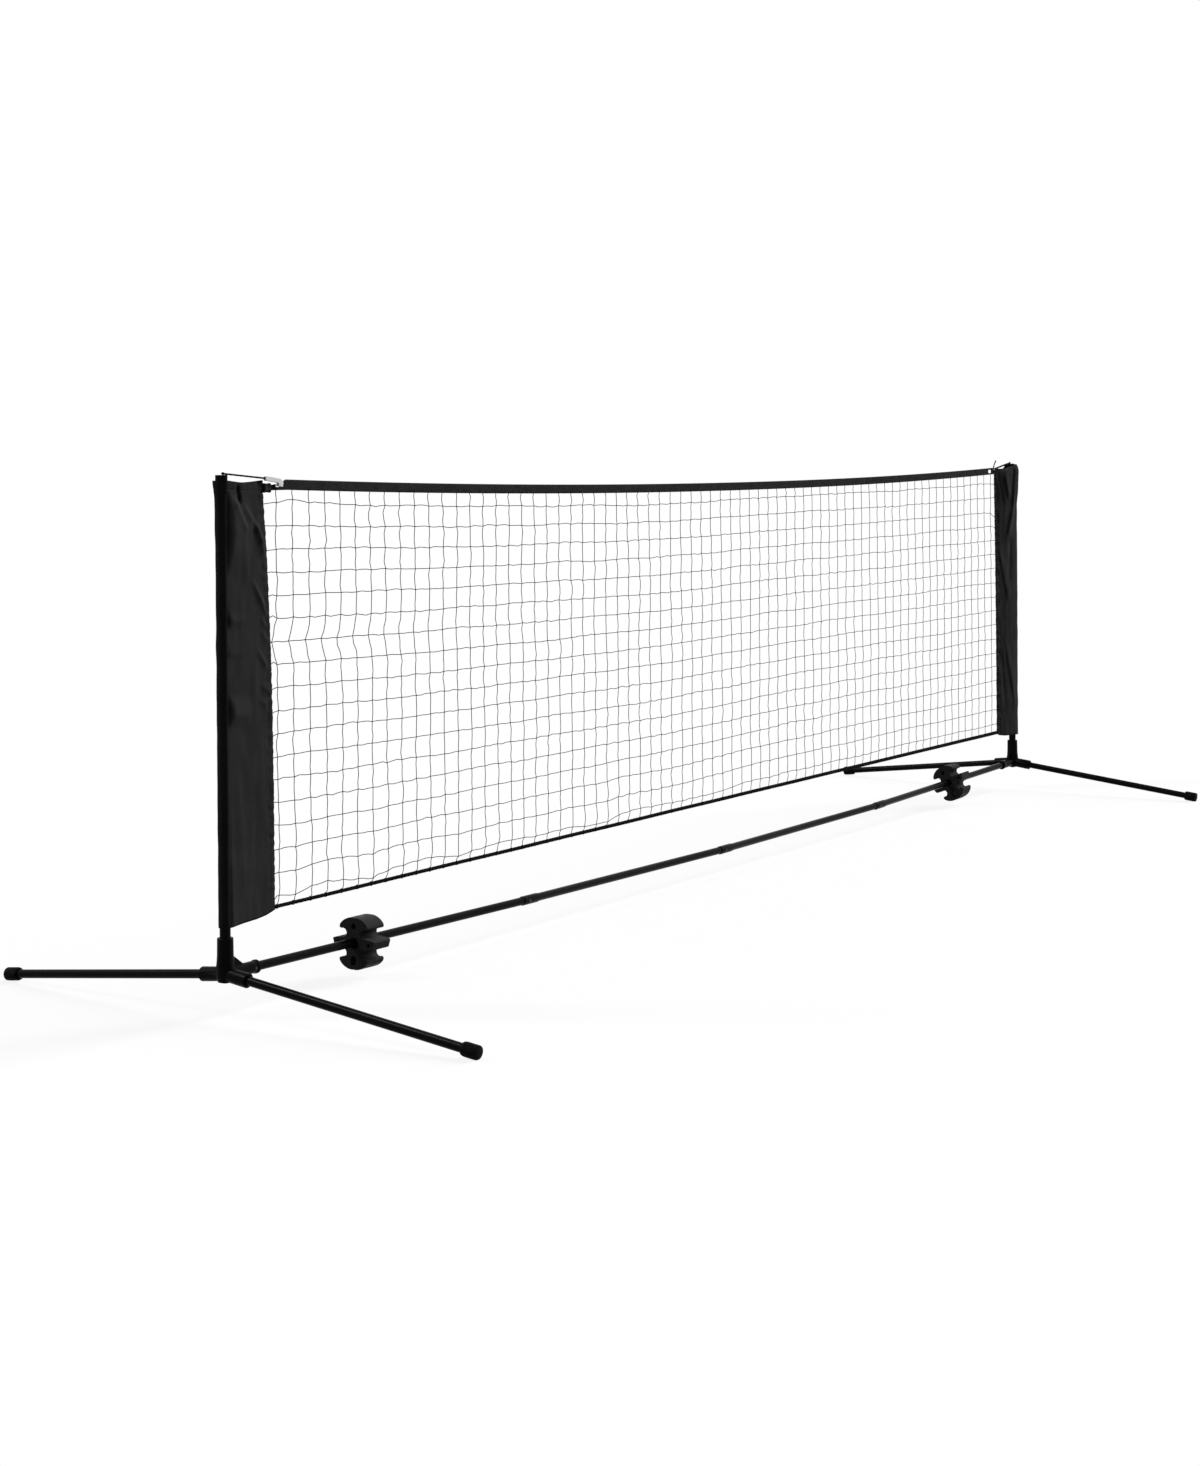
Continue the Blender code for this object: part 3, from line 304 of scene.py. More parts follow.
def white_finish():
    """White nylon, a little scuffed."""
    made = Finish("white_nylon", (0.56, 0.56, 0.56), 0.36, shine=0.15)
    made.eased_edges(0.0006)
    made.tint(made.grain(160, 4), (0.49, 0.49, 0.49))
    made.rough(made.grain(200, 4), 0.30, 0.50)
    made.bump(made.grain(900, 3), 0.00006, 0.5)
    return made.material


def cloth_finish(shade=1.0):
    """Black satin-weave polyester: a fine twill that catches the light along its folds."""
    # shade above 1 paints light into the cloth's colour: a paler, lit copy of the same satin
    dark, light = [(tone * shade, tone * shade, tone * 1.06 * shade) for tone in (0.0150, 0.0176)]
    made = Finish("satin_polyester", dark, 0.34, shine=0.003)
    made.tint(made.grain(14, 5), light)
    made.rough(made.grain(30, 5), 0.30, 0.40)
    warp = made.bands(900, "X", (0, 0.7, 0))
    weft = made.bands(620, "Z", (0, 0.7, 0))
    made.bump(computed(made.tree, "MULTIPLY", warp, weft), 0.00012, 0.35)
    made.bump(made.grain(190, 4, (1, 1, 0.35)), 0.0005, 0.35)
    return made.material


def webbing_finish():
    """Woven binding tape: fine ribs across it and rows of yarn along it."""
    made = Finish("woven_webbing", (0.0165, 0.0165, 0.0170), 0.72, shine=0.010)
    made.tint(made.grain(40, 6), (0.0225, 0.0225, 0.0230))
    made.rough(made.grain(120, 4), 0.60, 0.82)
    ribs = made.bands(330, "X", distortion=0.4)
    rows = made.bands(420, "Z", distortion=0.3)
    made.bump(computed(made.tree, "MULTIPLY", ribs, rows), 0.00035, 0.8)
    return made.material


def rope_finish():
    made = Finish("braided_rope", (0.0030, 0.0030, 0.0032), 0.7, shine=0.01)
    made.tint(made.grain(260, 4), (0.0050, 0.0050, 0.0052))
    made.rough(made.grain(400, 3), 0.55, 0.8)
    made.bump(made.bands(900, "X", (0.0, 0.5, 0.4), distortion=1.0), 0.0002, 0.7)
    return made.material


def tie_finish():
    made = Finish("tie_cord", (0.0035, 0.0035, 0.0037), 0.65, shine=0.01)
    made.tint(made.grain(500, 4), (0.0080, 0.0080, 0.0083))
    made.rough(made.grain(400, 3), 0.5, 0.75)
    made.bump(made.bands(1500, "X", (0.0, 0.6, 0.4), distortion=1.0), 0.00015, 0.7)
    return made.material


def pale_tie_finish():
    """The right end's knot, where the cord's grey flecked core shows."""
    made = Finish("flecked_cord", (0.11, 0.11, 0.112), 0.7, shine=0.05)
    made.tint(made.grain(520, 3), (0.34, 0.34, 0.345))
    made.rough(made.grain(400, 3), 0.5, 0.8)
    made.bump(made.bands(1500, "X", (0.0, 0.6, 0.4), distortion=1.0), 0.00015, 0.7)
    return made.material


def twine_finish():
    made = Finish("net_twine", (0.012, 0.012, 0.0125), 0.75, shine=0.02)
    made.tint(made.grain(90, 5), (0.022, 0.022, 0.0225))
    made.rough(made.grain(500, 3), 0.6, 0.85)
    made.bump(made.bands(2200, "DIAGONAL", distortion=0.5), 0.0001, 0.6)
    return made.material


FINISHES = {
    "black_coated_steel": steel_finish(),
    "black_moulded_plastic": plastic_finish(),
    "black_rubber": rubber_finish(),
    "charcoal_plastic": charcoal_finish(),
    "spring_steel": spring_finish(),
    "white_plastic": white_finish(),
    "black_polyester": cloth_finish(),
    "black_webbing": webbing_finish(),
    "black_rope": rope_finish(),
    "dark_twine": twine_finish(),
}
# Painted light: the right sleeve takes a copy of the same cloth painted 1.3 times paler, standing
# in for light its panel, facing further from the lamp, does not get
SLEEVE_FINISHES_RIGHT_PAINTED_LIGHTER = (FINISHES["black_polyester"], cloth_finish(1.3))
TIE_FINISH = tie_finish()
PALE_TIE_FINISH = pale_tie_finish()
# Edges of the model turned by more than this, in degrees, shade as sharp
SHARP_ANGLE = 38


def finish_node(name):
    """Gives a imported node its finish, and round surfaces that shade as round."""
    node = NODES[name]
    slot = node.data.materials[0].name.split(".")[0]
    node.data.materials[0] = FINISHES[slot]
    custom = node.data.attributes.get("custom_normal")
    if custom is not None:
        node.data.attributes.remove(custom)
    node.data.shade_smooth()
    weld = node.modifiers.new("weld", "WELD")
    weld.merge_threshold = 0.00001
    split = node.modifiers.new("creases", "EDGE_SPLIT")
    split.split_angle = math.radians(SHARP_ANGLE)
    split.use_edge_sharp = False


# Building meshes
class Shape:
    """Vertices and faces that grow piece by piece into one mesh."""

    def __init__(self):
        self.points = []
        self.faces = []

    def tube(self, route, radius, sides=6):
        """A closed tube along a route, or one whose radius is read from radius(i, angle)."""
        count = len(route)
        start = len(self.points)
        side = None
        for i, point in enumerate(route):
            ahead = (route[min(i + 1, count - 1)] - route[max(i - 1, 0)]).normalized()
            if side is None:
                side = ahead.orthogonal().normalized()
            side = (side - ahead * side.dot(ahead)).normalized()
            other = ahead.cross(side)
            for j in range(sides):
                angle = 2 * math.pi * j / sides
                reach = radius(i, angle) if callable(radius) else radius
                self.points.append(point + (side * math.cos(angle) + other * math.sin(angle))
                                   * reach)
        for i in range(count - 1):
            for j in range(sides):
                a = start + i * sides + j
                b = start + i * sides + (j + 1) % sides
                self.faces.append((a, b, b + sides, a + sides))
        self.faces.append(tuple(start + j for j in reversed(range(sides))))
        self.faces.append(tuple(start + (count - 1) * sides + j for j in range(sides)))

    def lump(self, centre, size, rings=4, sides=6):
        """A small rounded knot."""
        start = len(self.points)
        self.points.append(centre + Vector((0, 0, size.z)))
        for i in range(1, rings):
            polar = math.pi * i / rings
            for j in range(sides):
                angle = 2 * math.pi * (j + 0.5 * (i % 2)) / sides
                self.points.append(centre + Vector((size.x * math.sin(polar) * math.cos(angle),
                                                    size.y * math.sin(polar) * math.sin(angle),
                                                    size.z * math.cos(polar))))
        self.points.append(centre - Vector((0, 0, size.z)))
        last = len(self.points) - 1
        for j in range(sides):
            k = (j + 1) % sides
            self.faces.append((start, start + 1 + j, start + 1 + k))
            for i in range(rings - 2):
                a = start + 1 + i * sides
                self.faces.append((a + j, a + sides + j, a + sides + k, a + k))
            a = start + 1 + (rings - 2) * sides
            self.faces.append((a + j, last, a + k))

    def finished(self, name, material, smooth_angle=60):
        mesh = bpy.data.meshes.new(name)
        mesh.from_pydata([tuple(p) for p in self.points], [], self.faces)
        mesh.validate()
        made = bpy.data.objects.new(name, mesh)
        bpy.context.scene.collection.objects.link(made)
        mesh.materials.append(material)
        mesh.shade_smooth()
        mesh.set_sharp_from_angle(angle=math.radians(smooth_angle))
        return made


ROPE_GROOVE = 0.07


def rope_reach(radius, strands, steps_per_turn):
    """The outline of a laid rope, whose strands wind round it."""
    def reach(i, angle):
        wound = angle * strands / 2 - math.pi * strands * i / steps_per_turn / 2
        full = radius(i) if callable(radius) else radius
        return full * (1 - ROPE_GROOVE + ROPE_GROOVE * abs(math.cos(wound)))
    return reach


def evenly(route, step):
    """The same route with points a steady step apart."""
    lengths = [0.0]
    for a, b in zip(route, route[1:]):
        lengths.append(lengths[-1] + (b - a).length)
    count = max(2, int(round(lengths[-1] / step)) + 1)
    points = []
    index = 0
    for i in range(count):
        wanted = lengths[-1] * i / (count - 1)
        while index < len(lengths) - 2 and lengths[index + 1] < wanted:
            index += 1
        span = lengths[index + 1] - lengths[index]
        share = (wanted - lengths[index]) / span if span else 0
        points.append(route[index].lerp(route[index + 1], share))
    return points


def thicken(made, name, thickness, offset):
    """Gives a mesh that has no thickness the two faces and the edges of real cloth."""
    shell = made.modifiers.new(name, "SOLIDIFY")
    shell.thickness = thickness
    shell.offset = offset


# Cords: each knot's size and the radius of its cord, and where the hook and the right knot are
CAP_KNOT = (0.0021, 0.0012)
TAPE_KNOT = (0.0034, 0.0016)
TAPE_KNOT_TURN = 0.6
TAPE_KNOT_PLACE = (0.1270, 0.0072)
TAPE_KNOT_FORWARD = 0.0054
HOOK_PLACE = (0.1505, 0.0008)
HOOK_TURN = 7.5
HOOK_EYE = (-0.046, -0.0039, 0.0028)


def knot_seat(side):
    """Centre of the knot that rests in a post cap's recess."""
    return Vector((side * (HALF_SPACING - KNOT_SHIFT), 0,
                   above_axis(POST_HEIGHT + CAP_DECK + KNOT_RADIUS)))


def hook_frame():
    """The hook's frame: local X along its body to the right, local Y up, local Z forwards."""
    back = Vector((0, -TAPE_THICKNESS / 2 - 0.0004, 0))
    place = Matrix.Translation(by_post(LEFT, *HOOK_PLACE) + back)
    return (place @ Matrix.Rotation(math.radians(HOOK_TURN), 4, "Y")
            @ Matrix.Rotation(math.radians(90), 4, "X"))


def make_knot(name, centre, size, radius, turn=0.0, material=None):
    """An overhand knot drawn tight: a trefoil of the cord itself."""
    route = []
    for i in range(49):
        t = 2 * math.pi * i / 48
        x = (math.sin(t) + 2 * math.sin(2 * t)) / 3
        z = (math.cos(t) - 2 * math.cos(2 * t)) / 3
        point = Vector((x, -math.sin(3 * t) * 0.42, z)) * size
        route.append(centre + Matrix.Rotation(turn, 3, "Y") @ point)
    shape = Shape()
    shape.tube(route, radius, 10)
    made = shape.finished(name, material or TIE_FINISH, 80)
    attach(made, "frame")
    return made


def make_cord(name, route, radius, material, stands_for):
    path = evenly(route, radius * 0.6)
    shape = Shape()
    shape.tube(path, rope_reach(radius, 4, 26), 16)
    made = shape.finished(name, material, 80)
    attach(made, "frame")
    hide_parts(stands_for)


def make_left_tie():
    """From a knot in the left post's cap, over its edge and into the hook's end."""
    start = knot_seat(LEFT)
    end = hook_frame() @ Vector(HOOK_EYE)
    run = (end - start).normalized()
    route = smooth_route([start, start + run * 0.012, start.lerp(end, 0.5), end - run * 0.004,
                          end + run * 0.0117], 8)
    knot = make_knot("tie_left_knot", start, *CAP_KNOT)
    make_cord("tie_cord_left_line", route, TIE_RADIUS, TIE_FINISH, "tie_cord_left")


def make_right_tie():
    """The doubled cord from the right post's cap, knotted at the tape's end, with its tail."""
    start = knot_seat(RIGHT)
    knot_place = by_post(RIGHT, *TAPE_KNOT_PLACE) - Vector((0, TAPE_KNOT_FORWARD, 0))
    spread = Vector((0, TIE_RADIUS + 0.0006, 0))
    stop = make_knot("tie_right_stop", start, *CAP_KNOT)
    knot = make_knot("tie_right_knot", knot_place, *TAPE_KNOT, turn=TAPE_KNOT_TURN,
                     material=PALE_TIE_FINISH)
    tail = [knot_place + Vector((-0.004, -0.002, 0.002)),
            knot_place + Vector((-0.003, -0.002, 0.006)),
            knot_place + Vector((0.003, -0.001, 0.013)),
            knot_place + Vector((0.016, 0, 0.024))]
    for label, apart, rest, far_end, with_pieces in (
            ("front", -spread, tail, "bare", [stop, knot]), ("rear", spread, [], "knot", [])):
        points = [start, *(start.lerp(knot_place, share) + apart for share in (0.2, 0.5, 0.8)),
                  knot_place, *rest]
        make_cord("tie_cord_right_" + label, smooth_route(points, 10), TIE_RADIUS, TIE_FINISH,
                  "tie_cord_right")


# Sleeves
SLEEVE_COLUMNS = 100
SLEEVE_ROWS = 230
SLEEVE_SLACKS = (0.0017, 0.0068)
SLEEVE_LEANS = (0.0, 0.0030)
SLEEVE_FLARE = 0.0030
SLEEVE_HEM = 0.0150
SLEEVE_DIPS = (0.0035, 0.0050)
RIGHT_REAR_DIP = 0.0040
RIGHT_FULLNESS = 0.0042
RIGHT_CORNER_ROUND = 0.0085
NET_EDGE_HALF = 0.0012
# Angle round the post, from the net's side, at which the cloth leaves it
PARTING_ANGLE = 84
# The left sleeve's slack front: heights, how far from the post's axis it stands fullest, how full
LEFT_CREST = [(0.079, 0.006), (0.150, 0.006), (0.200, 0.004), (0.422, 0.004), (0.439, 0.014),
              (0.458, 0.011), (0.475, 0.004), (0.588, 0.004), (0.601, 0.009), (0.616, 0.005),
              (0.680, 0.004), (0.690, 0.007), (0.719, 0.014), (0.752, 0.018), (0.781, 0.016),
              (0.805, 0.010), (0.826, 0.004)]
LEFT_BULGE = [(0.079, 0.0020), (0.150, 0.0020), (0.200, 0.0010), (0.300, 0.0), (0.420, 0.0004),
              (0.439, 0.0054), (0.458, 0.0046), (0.477, 0.0003), (0.535, 0.0), (0.545, 0.0014),
              (0.556, 0.0), (0.586, 0.0), (0.601, 0.0042), (0.618, 0.0006), (0.640, 0.0),
              (0.676, 0.0002), (0.692, 0.0018), (0.719, 0.0056), (0.752, 0.0074), (0.781, 0.0070),
              (0.805, 0.0038), (0.828, 0.0)]
# Each crease: x and z of its ends, its half width and how far it stands out, back being positive
LEFT_CREASES = [
    (0.009, 0.814, 0.026, 0.798, 0.0036, -0.0018),
    (0.026, 0.798, 0.050, 0.760, 0.0038, -0.0022),
    (0.050, 0.760, 0.068, 0.764, 0.0040, -0.0014),
    (0.029, 0.830, 0.036, 0.803, 0.0040, 0.0042),
    (0.053, 0.792, 0.084, 0.760, 0.0034, -0.0026),
    (0.084, 0.760, 0.099, 0.737, 0.0034, -0.0034),
    (0.099, 0.737, 0.102, 0.711, 0.0034, -0.0028),
    (0.048, 0.758, 0.059, 0.675, 0.0060, -0.0010),
    (0.078, 0.659, 0.108, 0.609, 0.0030, -0.0024),
    (0.092, 0.642, 0.106, 0.623, 0.0024, -0.0010),
    (0.097, 0.601, 0.109, 0.585, 0.0024, -0.0014),
    (0.100, 0.574, 0.112, 0.561, 0.0024, -0.0014),
    (0.088, 0.543, 0.108, 0.517, 0.0028, -0.0018),
    (0.097, 0.482, 0.117, 0.476, 0.0026, -0.0018),
    (0.087, 0.461, 0.107, 0.450, 0.0030, -0.0014),
    (0.070, 0.520, 0.078, 0.400, 0.0140, -0.0008),
    (0.030, 0.300, 0.040, 0.150, 0.0060, -0.0009),
]
RIGHT_CREASES = [
    (0.004, 0.800, 0.020, 0.745, 0.0075, -0.0030),
    (0.014, 0.745, 0.050, 0.650, 0.0062, -0.0036),
    (0.020, 0.835, 0.030, 0.770, 0.0070, 0.0020),
    (0.066, 0.812, 0.048, 0.760, 0.0055, -0.0026),
    (0.094, 0.812, 0.070, 0.740, 0.0048, 0.0010),
    (0.086, 0.590, 0.052, 0.480, 0.0060, -0.0018),
    (0.030, 0.620, 0.040, 0.520, 0.0090, 0.0016),
    (0.060, 0.330, 0.018, 0.180, 0.0060, -0.0016),
    (0.080, 0.300, 0.066, 0.160, 0.0080, 0.0012),
]


def sleeve_share(side, z):
    """How far up a sleeve a height is, from 0 to 1."""
    rise = SLEEVE_TOPS[side_index(side)] - SLEEVE_BOTTOM
    return min(1.0, max(0.0, (z - SLEEVE_BOTTOM) / rise))


def sleeve_width(side, z):
    """Distance from the post's axis to the sleeve's net edge, at a height above the bores."""
    index = side_index(side)
    return SLEEVE_WIDTHS[index] + SLEEVE_TOP_SHIFTS[index] * sleeve_share(side, z) ** 3


def crease_height(creases, x, z):
    """How far the creases push the cloth out at a place."""
    total = 0.0
    for x0, z0, x1, z1, width, height in creases:
        run_x, run_z = x1 - x0, z1 - z0
        long = run_x * run_x + run_z * run_z
        share = ((x - x0) * run_x + (z - z0) * run_z) / long
        if -0.3 < share < 1.3:
            off = ((x - x0) * run_z - (z - z0) * run_x) / math.sqrt(long)
            if height < 0:
                off /= 2.6 if off > 0 else 0.9
            if abs(off) < width * 3:
                ends = eased((share + 0.3) / 0.45) * eased((1.3 - share) / 0.45)
                total += height * ends * math.exp(-(off / width) ** 2)
    return total


def left_bulge(x, z):
    """How far the left sleeve's slack front stands past the straight line from post to net."""
    crest = between(LEFT_CREST, z)
    full = between(LEFT_BULGE, z) + 0.0006 * noise.noise(Vector((3.1, 0.4, z * 45)))
    near, far = (x + 0.002) / (crest + 0.002), 1 - (x - crest) / 0.055
    return max(0.0, full) * max(0.0, -math.log(math.exp(-7 * near) + math.exp(-7 * far)) / 7)


def sleeve_wave(side, x, z, width):
    """How far the panel stands out of its plane: creases, puckers and slack."""
    creases = LEFT_CREASES if side == LEFT else RIGHT_CREASES
    inner = eased((x - 0.004) / 0.02)
    outer = eased((width - x) / 0.012)
    slack = 0.0012 * noise.noise(Vector((x * 20, side * 3.0, z * 6)))
    slack += 0.0006 * noise.noise(Vector((x * 60, side * 5.0, z * 22)))
    folds = crease_height(creases, x, z) + slack
    border = eased((x - width + 0.018) / 0.008)
    top = SLEEVE_TOPS[side_index(side)]
    hem = math.exp(-((top - z) / 0.010) ** 2)
    puckers = border * 0.0017 * noise.noise(Vector((side * 9.0, 4.5 + x * 30, z * 105)))
    puckers += border * 0.0008 * noise.noise(Vector((side * 4.0, 1.5 + x * 60, z * 260)))
    puckers += hem * 0.0010 * noise.noise(Vector((x * 95, side * 2.0, 8.5)))
    seam = 0.0005 * math.exp(-((width - x - 0.0135) / 0.0012) ** 2)
    return inner * outer * folds + puckers + seam


def sleeve_levels():
    """Rows up a sleeve, closer together at the top hem."""
    close = 0.965
    plain = int(SLEEVE_ROWS * 0.84)
    levels = [close * i / plain for i in range(plain)]
    return levels + [close + (1 - close) * i / (SLEEVE_ROWS - plain)
                     for i in range(SLEEVE_ROWS - plain + 1)]


def sleeve_radius(side, level):
    """The sleeve's radius round the post: slack cloth, fuller towards a gathered top hem."""
    index = side_index(side)
    top = SLEEVE_TOPS[index]
    base = SLEEVE_BOTTOM + level * (top - SLEEVE_BOTTOM)
    flare = eased((level - 0.955) / 0.045)
    radius = POST_RADIUS + SLEEVE_SLACKS[index] + SLEEVE_FLARE * flare
    radius += 0.0010 * noise.noise(Vector((1.0, side * 2.0, base * 26))) * (1 - flare)
    radius += 0.0010 * eased((level - 0.86) / 0.06)
    if side == RIGHT:
        radius += RIGHT_FULLNESS * eased((level - 0.84) / 0.09)
        radius -= RIGHT_CORNER_ROUND * max(0.0, (level - 0.965) / 0.035) ** 2.2
    return radius - hem_stitch(top, base)


def hem_stitch(top, z):
    """How far the row of stitches under the top hem is drawn in, at a height."""
    return 0.0004 * math.exp(-((top - SLEEVE_HEM - z) / 0.0011) ** 2)


def hem_height(side, layer, level, share, out, base):
    """Height of a row of the panel, with a lifted bottom corner and a slack top hem."""
    index = side_index(side)
    corner = (1 - level) ** 6 * (0.0015 * min(1.0, out * 3) + 0.0093 * out ** 5)
    dip = SLEEVE_DIPS[index] + (RIGHT_REAR_DIP if side == RIGHT and layer > 0 else 0)
    slack = dip * math.sin(math.pi * share) + SLEEVE_HEM_SLOPES[index] * share
    return base + corner - level ** 12 * slack


def panel_fullness(side, layer, share):
    """From 1 at the post to 0 at the net edge, how far a layer stands from the net's plane."""
    if side == LEFT:
        return (1 - share) ** 1.1
    return 1 - share ** 1.45 if layer < 0 else (1 - share) ** 2.6


def make_sleeve(side):
    """A pocket of cloth: round the post, out to the net edge and sewn flat there."""
    index = side_index(side)
    name = "sleeve_" + SIDE_NAMES[side]
    top = SLEEVE_TOPS[index]
    shape = Shape()
    round_steps = 24
    flat = (SLEEVE_COLUMNS - round_steps) // 2
    for level in sleeve_levels():
        base = SLEEVE_BOTTOM + level * (top - SLEEVE_BOTTOM)
        width = sleeve_width(side, base)
        radius = sleeve_radius(side, level)
        lean = SLEEVE_LEANS[index] * eased(level * 1.5)
        start = radius * math.cos(math.radians(PARTING_ANGLE)) - lean
        reach = radius * math.sin(math.radians(PARTING_ANGLE))
        layers = []
        for layer in (-1, 1):
            line = []
            for i in range(flat):
                share = 1 - i / flat
                x = start + (width - start) * share
                height = hem_height(side, layer, level, share, max(0.0, x) / width, base)
                half = NET_EDGE_HALF + (reach - NET_EDGE_HALF) * panel_fullness(side, layer, share)
                if side == LEFT and layer < 0:
                    half += left_bulge(x, base)
                half -= hem_stitch(top, base) * (1 - share)
                y = layer * half + sleeve_wave(side, x, height, width) * (1.0 if layer < 0 else 0.5)
                line.append((x, y, height))
            layers.append(line)
        loop = []
        for i in range(round_steps + 1):
            turned = 2 * (180 - PARTING_ANGLE) * i / round_steps
            angle = math.radians(360 - PARTING_ANGLE - turned)
            loop.append((radius * math.cos(angle) - lean, radius * math.sin(angle), base))
        for x, y, z in layers[0] + loop + list(reversed(layers[1])):
            shape.points.append(Vector((side * (HALF_SPACING - x), y, above_axis(z))))
    count = 2 * flat + round_steps + 1
    for row in range(SLEEVE_ROWS):
        for i in range(count):
            j = (i + 1) % count
            quad = (row * count + i, row * count + j, (row + 1) * count + j,
                    (row + 1) * count + i)
            shape.faces.append(quad if side == LEFT else tuple(reversed(quad)))
    # The right sleeve gets the cloth copy painted paler, as painted light
    made = shape.finished(name + "_cloth", SLEEVE_FINISHES_RIGHT_PAINTED_LIGHTER[index], 70)
    thicken(made, "cloth", SLEEVE_CLOTH, 1.0)
    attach(made, "frame")
    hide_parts(name)
    width = 2 * SLEEVE_WIDTHS[index] + 0.05


# Tape: its slots' places by the posts and their sizes, and how far it is drawn in at the hook
TAPE_SLOTS = ((LEFT, (0.1430, 0.0116), (0.0130, 0.0056)),
              (RIGHT, (0.1410, 0.0133), (0.022, 0.0095)))
TAPE_GATHER = 0.0090
TAPE_CLEARANCE = 0.0012


def tape_line(x):
    """Height of the tape's top edge above the bores, as the CAD tape hangs."""
    share = (from_left(x) - TAPE_LOW_SHIFT) / (2 * HALF_SPACING * 0.462)
    return TAPE_TOP - TAPE_SAG * (1 - min(1.0, abs(share) ** 2.1))


def tape_ends(z):
    """Distances from the left post's axis of the tape's two ends, clear of the sleeves."""
    return (sleeve_width(LEFT, z) + TAPE_CLEARANCE,
            2 * HALF_SPACING - sleeve_width(RIGHT, z) - TAPE_CLEARANCE)


def tape_gather(x):
    """From 0 to 1, how far the tape is drawn together at its left end."""
    return 0.6 * eased((0.163 - x) / 0.012) + 0.4 * eased((0.158 - x) / 0.035)


def make_tape():
    """A folded woven band, gathered under the hook and pierced near its right end."""
    first, last = tape_ends(TAPE_TOP - TAPE_HEIGHT)
    close = 0.200
    places = [first + (close - first) * i / 60 for i in range(60)]
    places += [close + (last - close) * i / 420 for i in range(421)]
    across = 14
    outline = []
    for layer in (-1, 1):
        for i in range(across + 1):
            share = i / across
            outline.append((layer, share if layer < 0 else 1 - share))
    shape = Shape()
    for x in places:
        drawn = tape_gather(x)
        top = tape_line(x) - TAPE_GATHER * drawn
        bottom = tape_line(x) - TAPE_HEIGHT
        ripple = 0.0005 * noise.noise(Vector((x * 24, 3.0, 1.0)))
        for layer, share in outline:
            z = bottom + (top - bottom) * share
            rim = min(share, 1 - share) * (top - bottom)
            half = TAPE_THICKNESS / 2 * min(1.0, math.sqrt(max(0.0, rim) / 0.0009) + 0.15)
            sew = 0.00022 * math.exp(-((rim - 0.0024) / 0.0005) ** 2)
            pleat = drawn * 0.0009 * math.sin(share * 3 * 2 * math.pi + x * 40)
            back = drawn * 0.0010 + pleat * (0.5 + 0.5 * layer)
            y = layer * (half - sew) + ripple * (1 - drawn) + back
            shape.points.append(Vector((from_left(x), y, above_axis(z))))
    count = len(outline)
    for i in range(len(places) - 1):
        for j in range(count):
            k = (j + 1) % count
            shape.faces.append((i * count + j, (i + 1) * count + j, (i + 1) * count + k,
                                i * count + k))
    shape.faces.append(tuple(range(count)))
    shape.faces.append(tuple((len(places) - 1) * count + j for j in reversed(range(count))))
    made = shape.finished("top_tape_band", FINISHES["black_webbing"], 60)
    for side, place, size in TAPE_SLOTS:
        pierce(made, by_post(side, *place), size)
    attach(made, "frame")
    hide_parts("top_tape")


def pierce(made, centre, size):
    """Cuts a slot with round ends through a band, from front to back."""
    shape = Shape()
    radius = size[1] / 2
    reach = size[0] / 2 - radius
    steps = 12
    outline = [(reach + radius * math.cos(math.pi * i / steps - math.pi / 2),
                radius * math.sin(math.pi * i / steps - math.pi / 2)) for i in range(steps + 1)]
    outline += [(-x, -z) for x, z in outline]
    count = len(outline)
    for y in (-0.01, 0.01):
        shape.points += [centre + Vector((x, y, z)) for x, z in outline]
    shape.faces = [(count + j, count + (j + 1) % count, (j + 1) % count, j) for j in range(count)]
    shape.faces += [tuple(range(count)), tuple(reversed(range(count, 2 * count)))]
    cutter = shape.finished(made.name + "_slot", made.data.materials[0])
    step = made.modifiers.new("slot", "BOOLEAN")
    step.operation = "DIFFERENCE"
    step.solver = "MANIFOLD"
    step.object = cutter
    bpy.context.view_layer.update()
    graph = bpy.context.evaluated_depsgraph_get()
    cleared = bpy.data.meshes.new_from_object(made.evaluated_get(graph))
    made.modifiers.clear()
    made.data = cleared
    bpy.data.objects.remove(cutter, do_unlink=True)


LOOP_PLACE = 0.0095
LOOP_LENGTH = 0.016
LOOP_HEIGHT = 0.0155
LOOP_HANG = 0.0034
LOOP_HALF_DEPTH = 0.0040
LOOP_WEBBING = 0.0013


def make_loop():
    """The webbing that ties the gathered tape to the sleeve's corner, drawn into two lobes."""
    x = tape_ends(TAPE_TOP - TAPE_HEIGHT)[0] + LOOP_PLACE
    half_z = LOOP_HEIGHT / 2
    middle = tape_line(x) - TAPE_HEIGHT - LOOP_HANG + half_z
    shape = Shape()
    steps = 48
    stations = 14
    for s in range(stations + 1):
        along = LOOP_LENGTH * (s / stations - 0.5)
        neck = 1 - 0.16 * math.exp(-(along / 0.003) ** 2)
        for i in range(steps):
            angle = 2 * math.pi * i / steps
            cz = math.copysign(abs(math.sin(angle)) ** 0.7, math.sin(angle))
            cy = math.copysign(abs(math.cos(angle)) ** 0.7, math.cos(angle))
            waist = 1 - 0.22 * math.exp(-(cz / 0.35) ** 2) * (1 if cy < 0 else 0.2)
            y = LOOP_HALF_DEPTH * cy * waist * neck
            z = middle + half_z * cz * neck
            shape.points.append(Vector((from_left(x + along), y, above_axis(z))))
    for s in range(stations):
        for i in range(steps):
            j = (i + 1) % steps
            shape.faces.append((s * steps + i, s * steps + j, (s + 1) * steps + j,
                                (s + 1) * steps + i))
    made = shape.finished("tape_loop_left_webbing", FINISHES["black_webbing"], 60)
    thicken(made, "webbing", LOOP_WEBBING, 0.0)
    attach(made, "frame")
    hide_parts("tape_loop_left")


# Net
NET_FIRST = 0.1384
NET_LAST = 3.1132
NET_STRANDS = 70
NET_LINES = 18
NET_RADIUS = 0.00075
NET_KNOT = (0.00135, 0.0011, 0.00135)
LASHING_RADIUS = 0.0037
DROP_SLACK = 0.0058
LINE_SLACK = 0.0034
END_SLACK = 0.0012
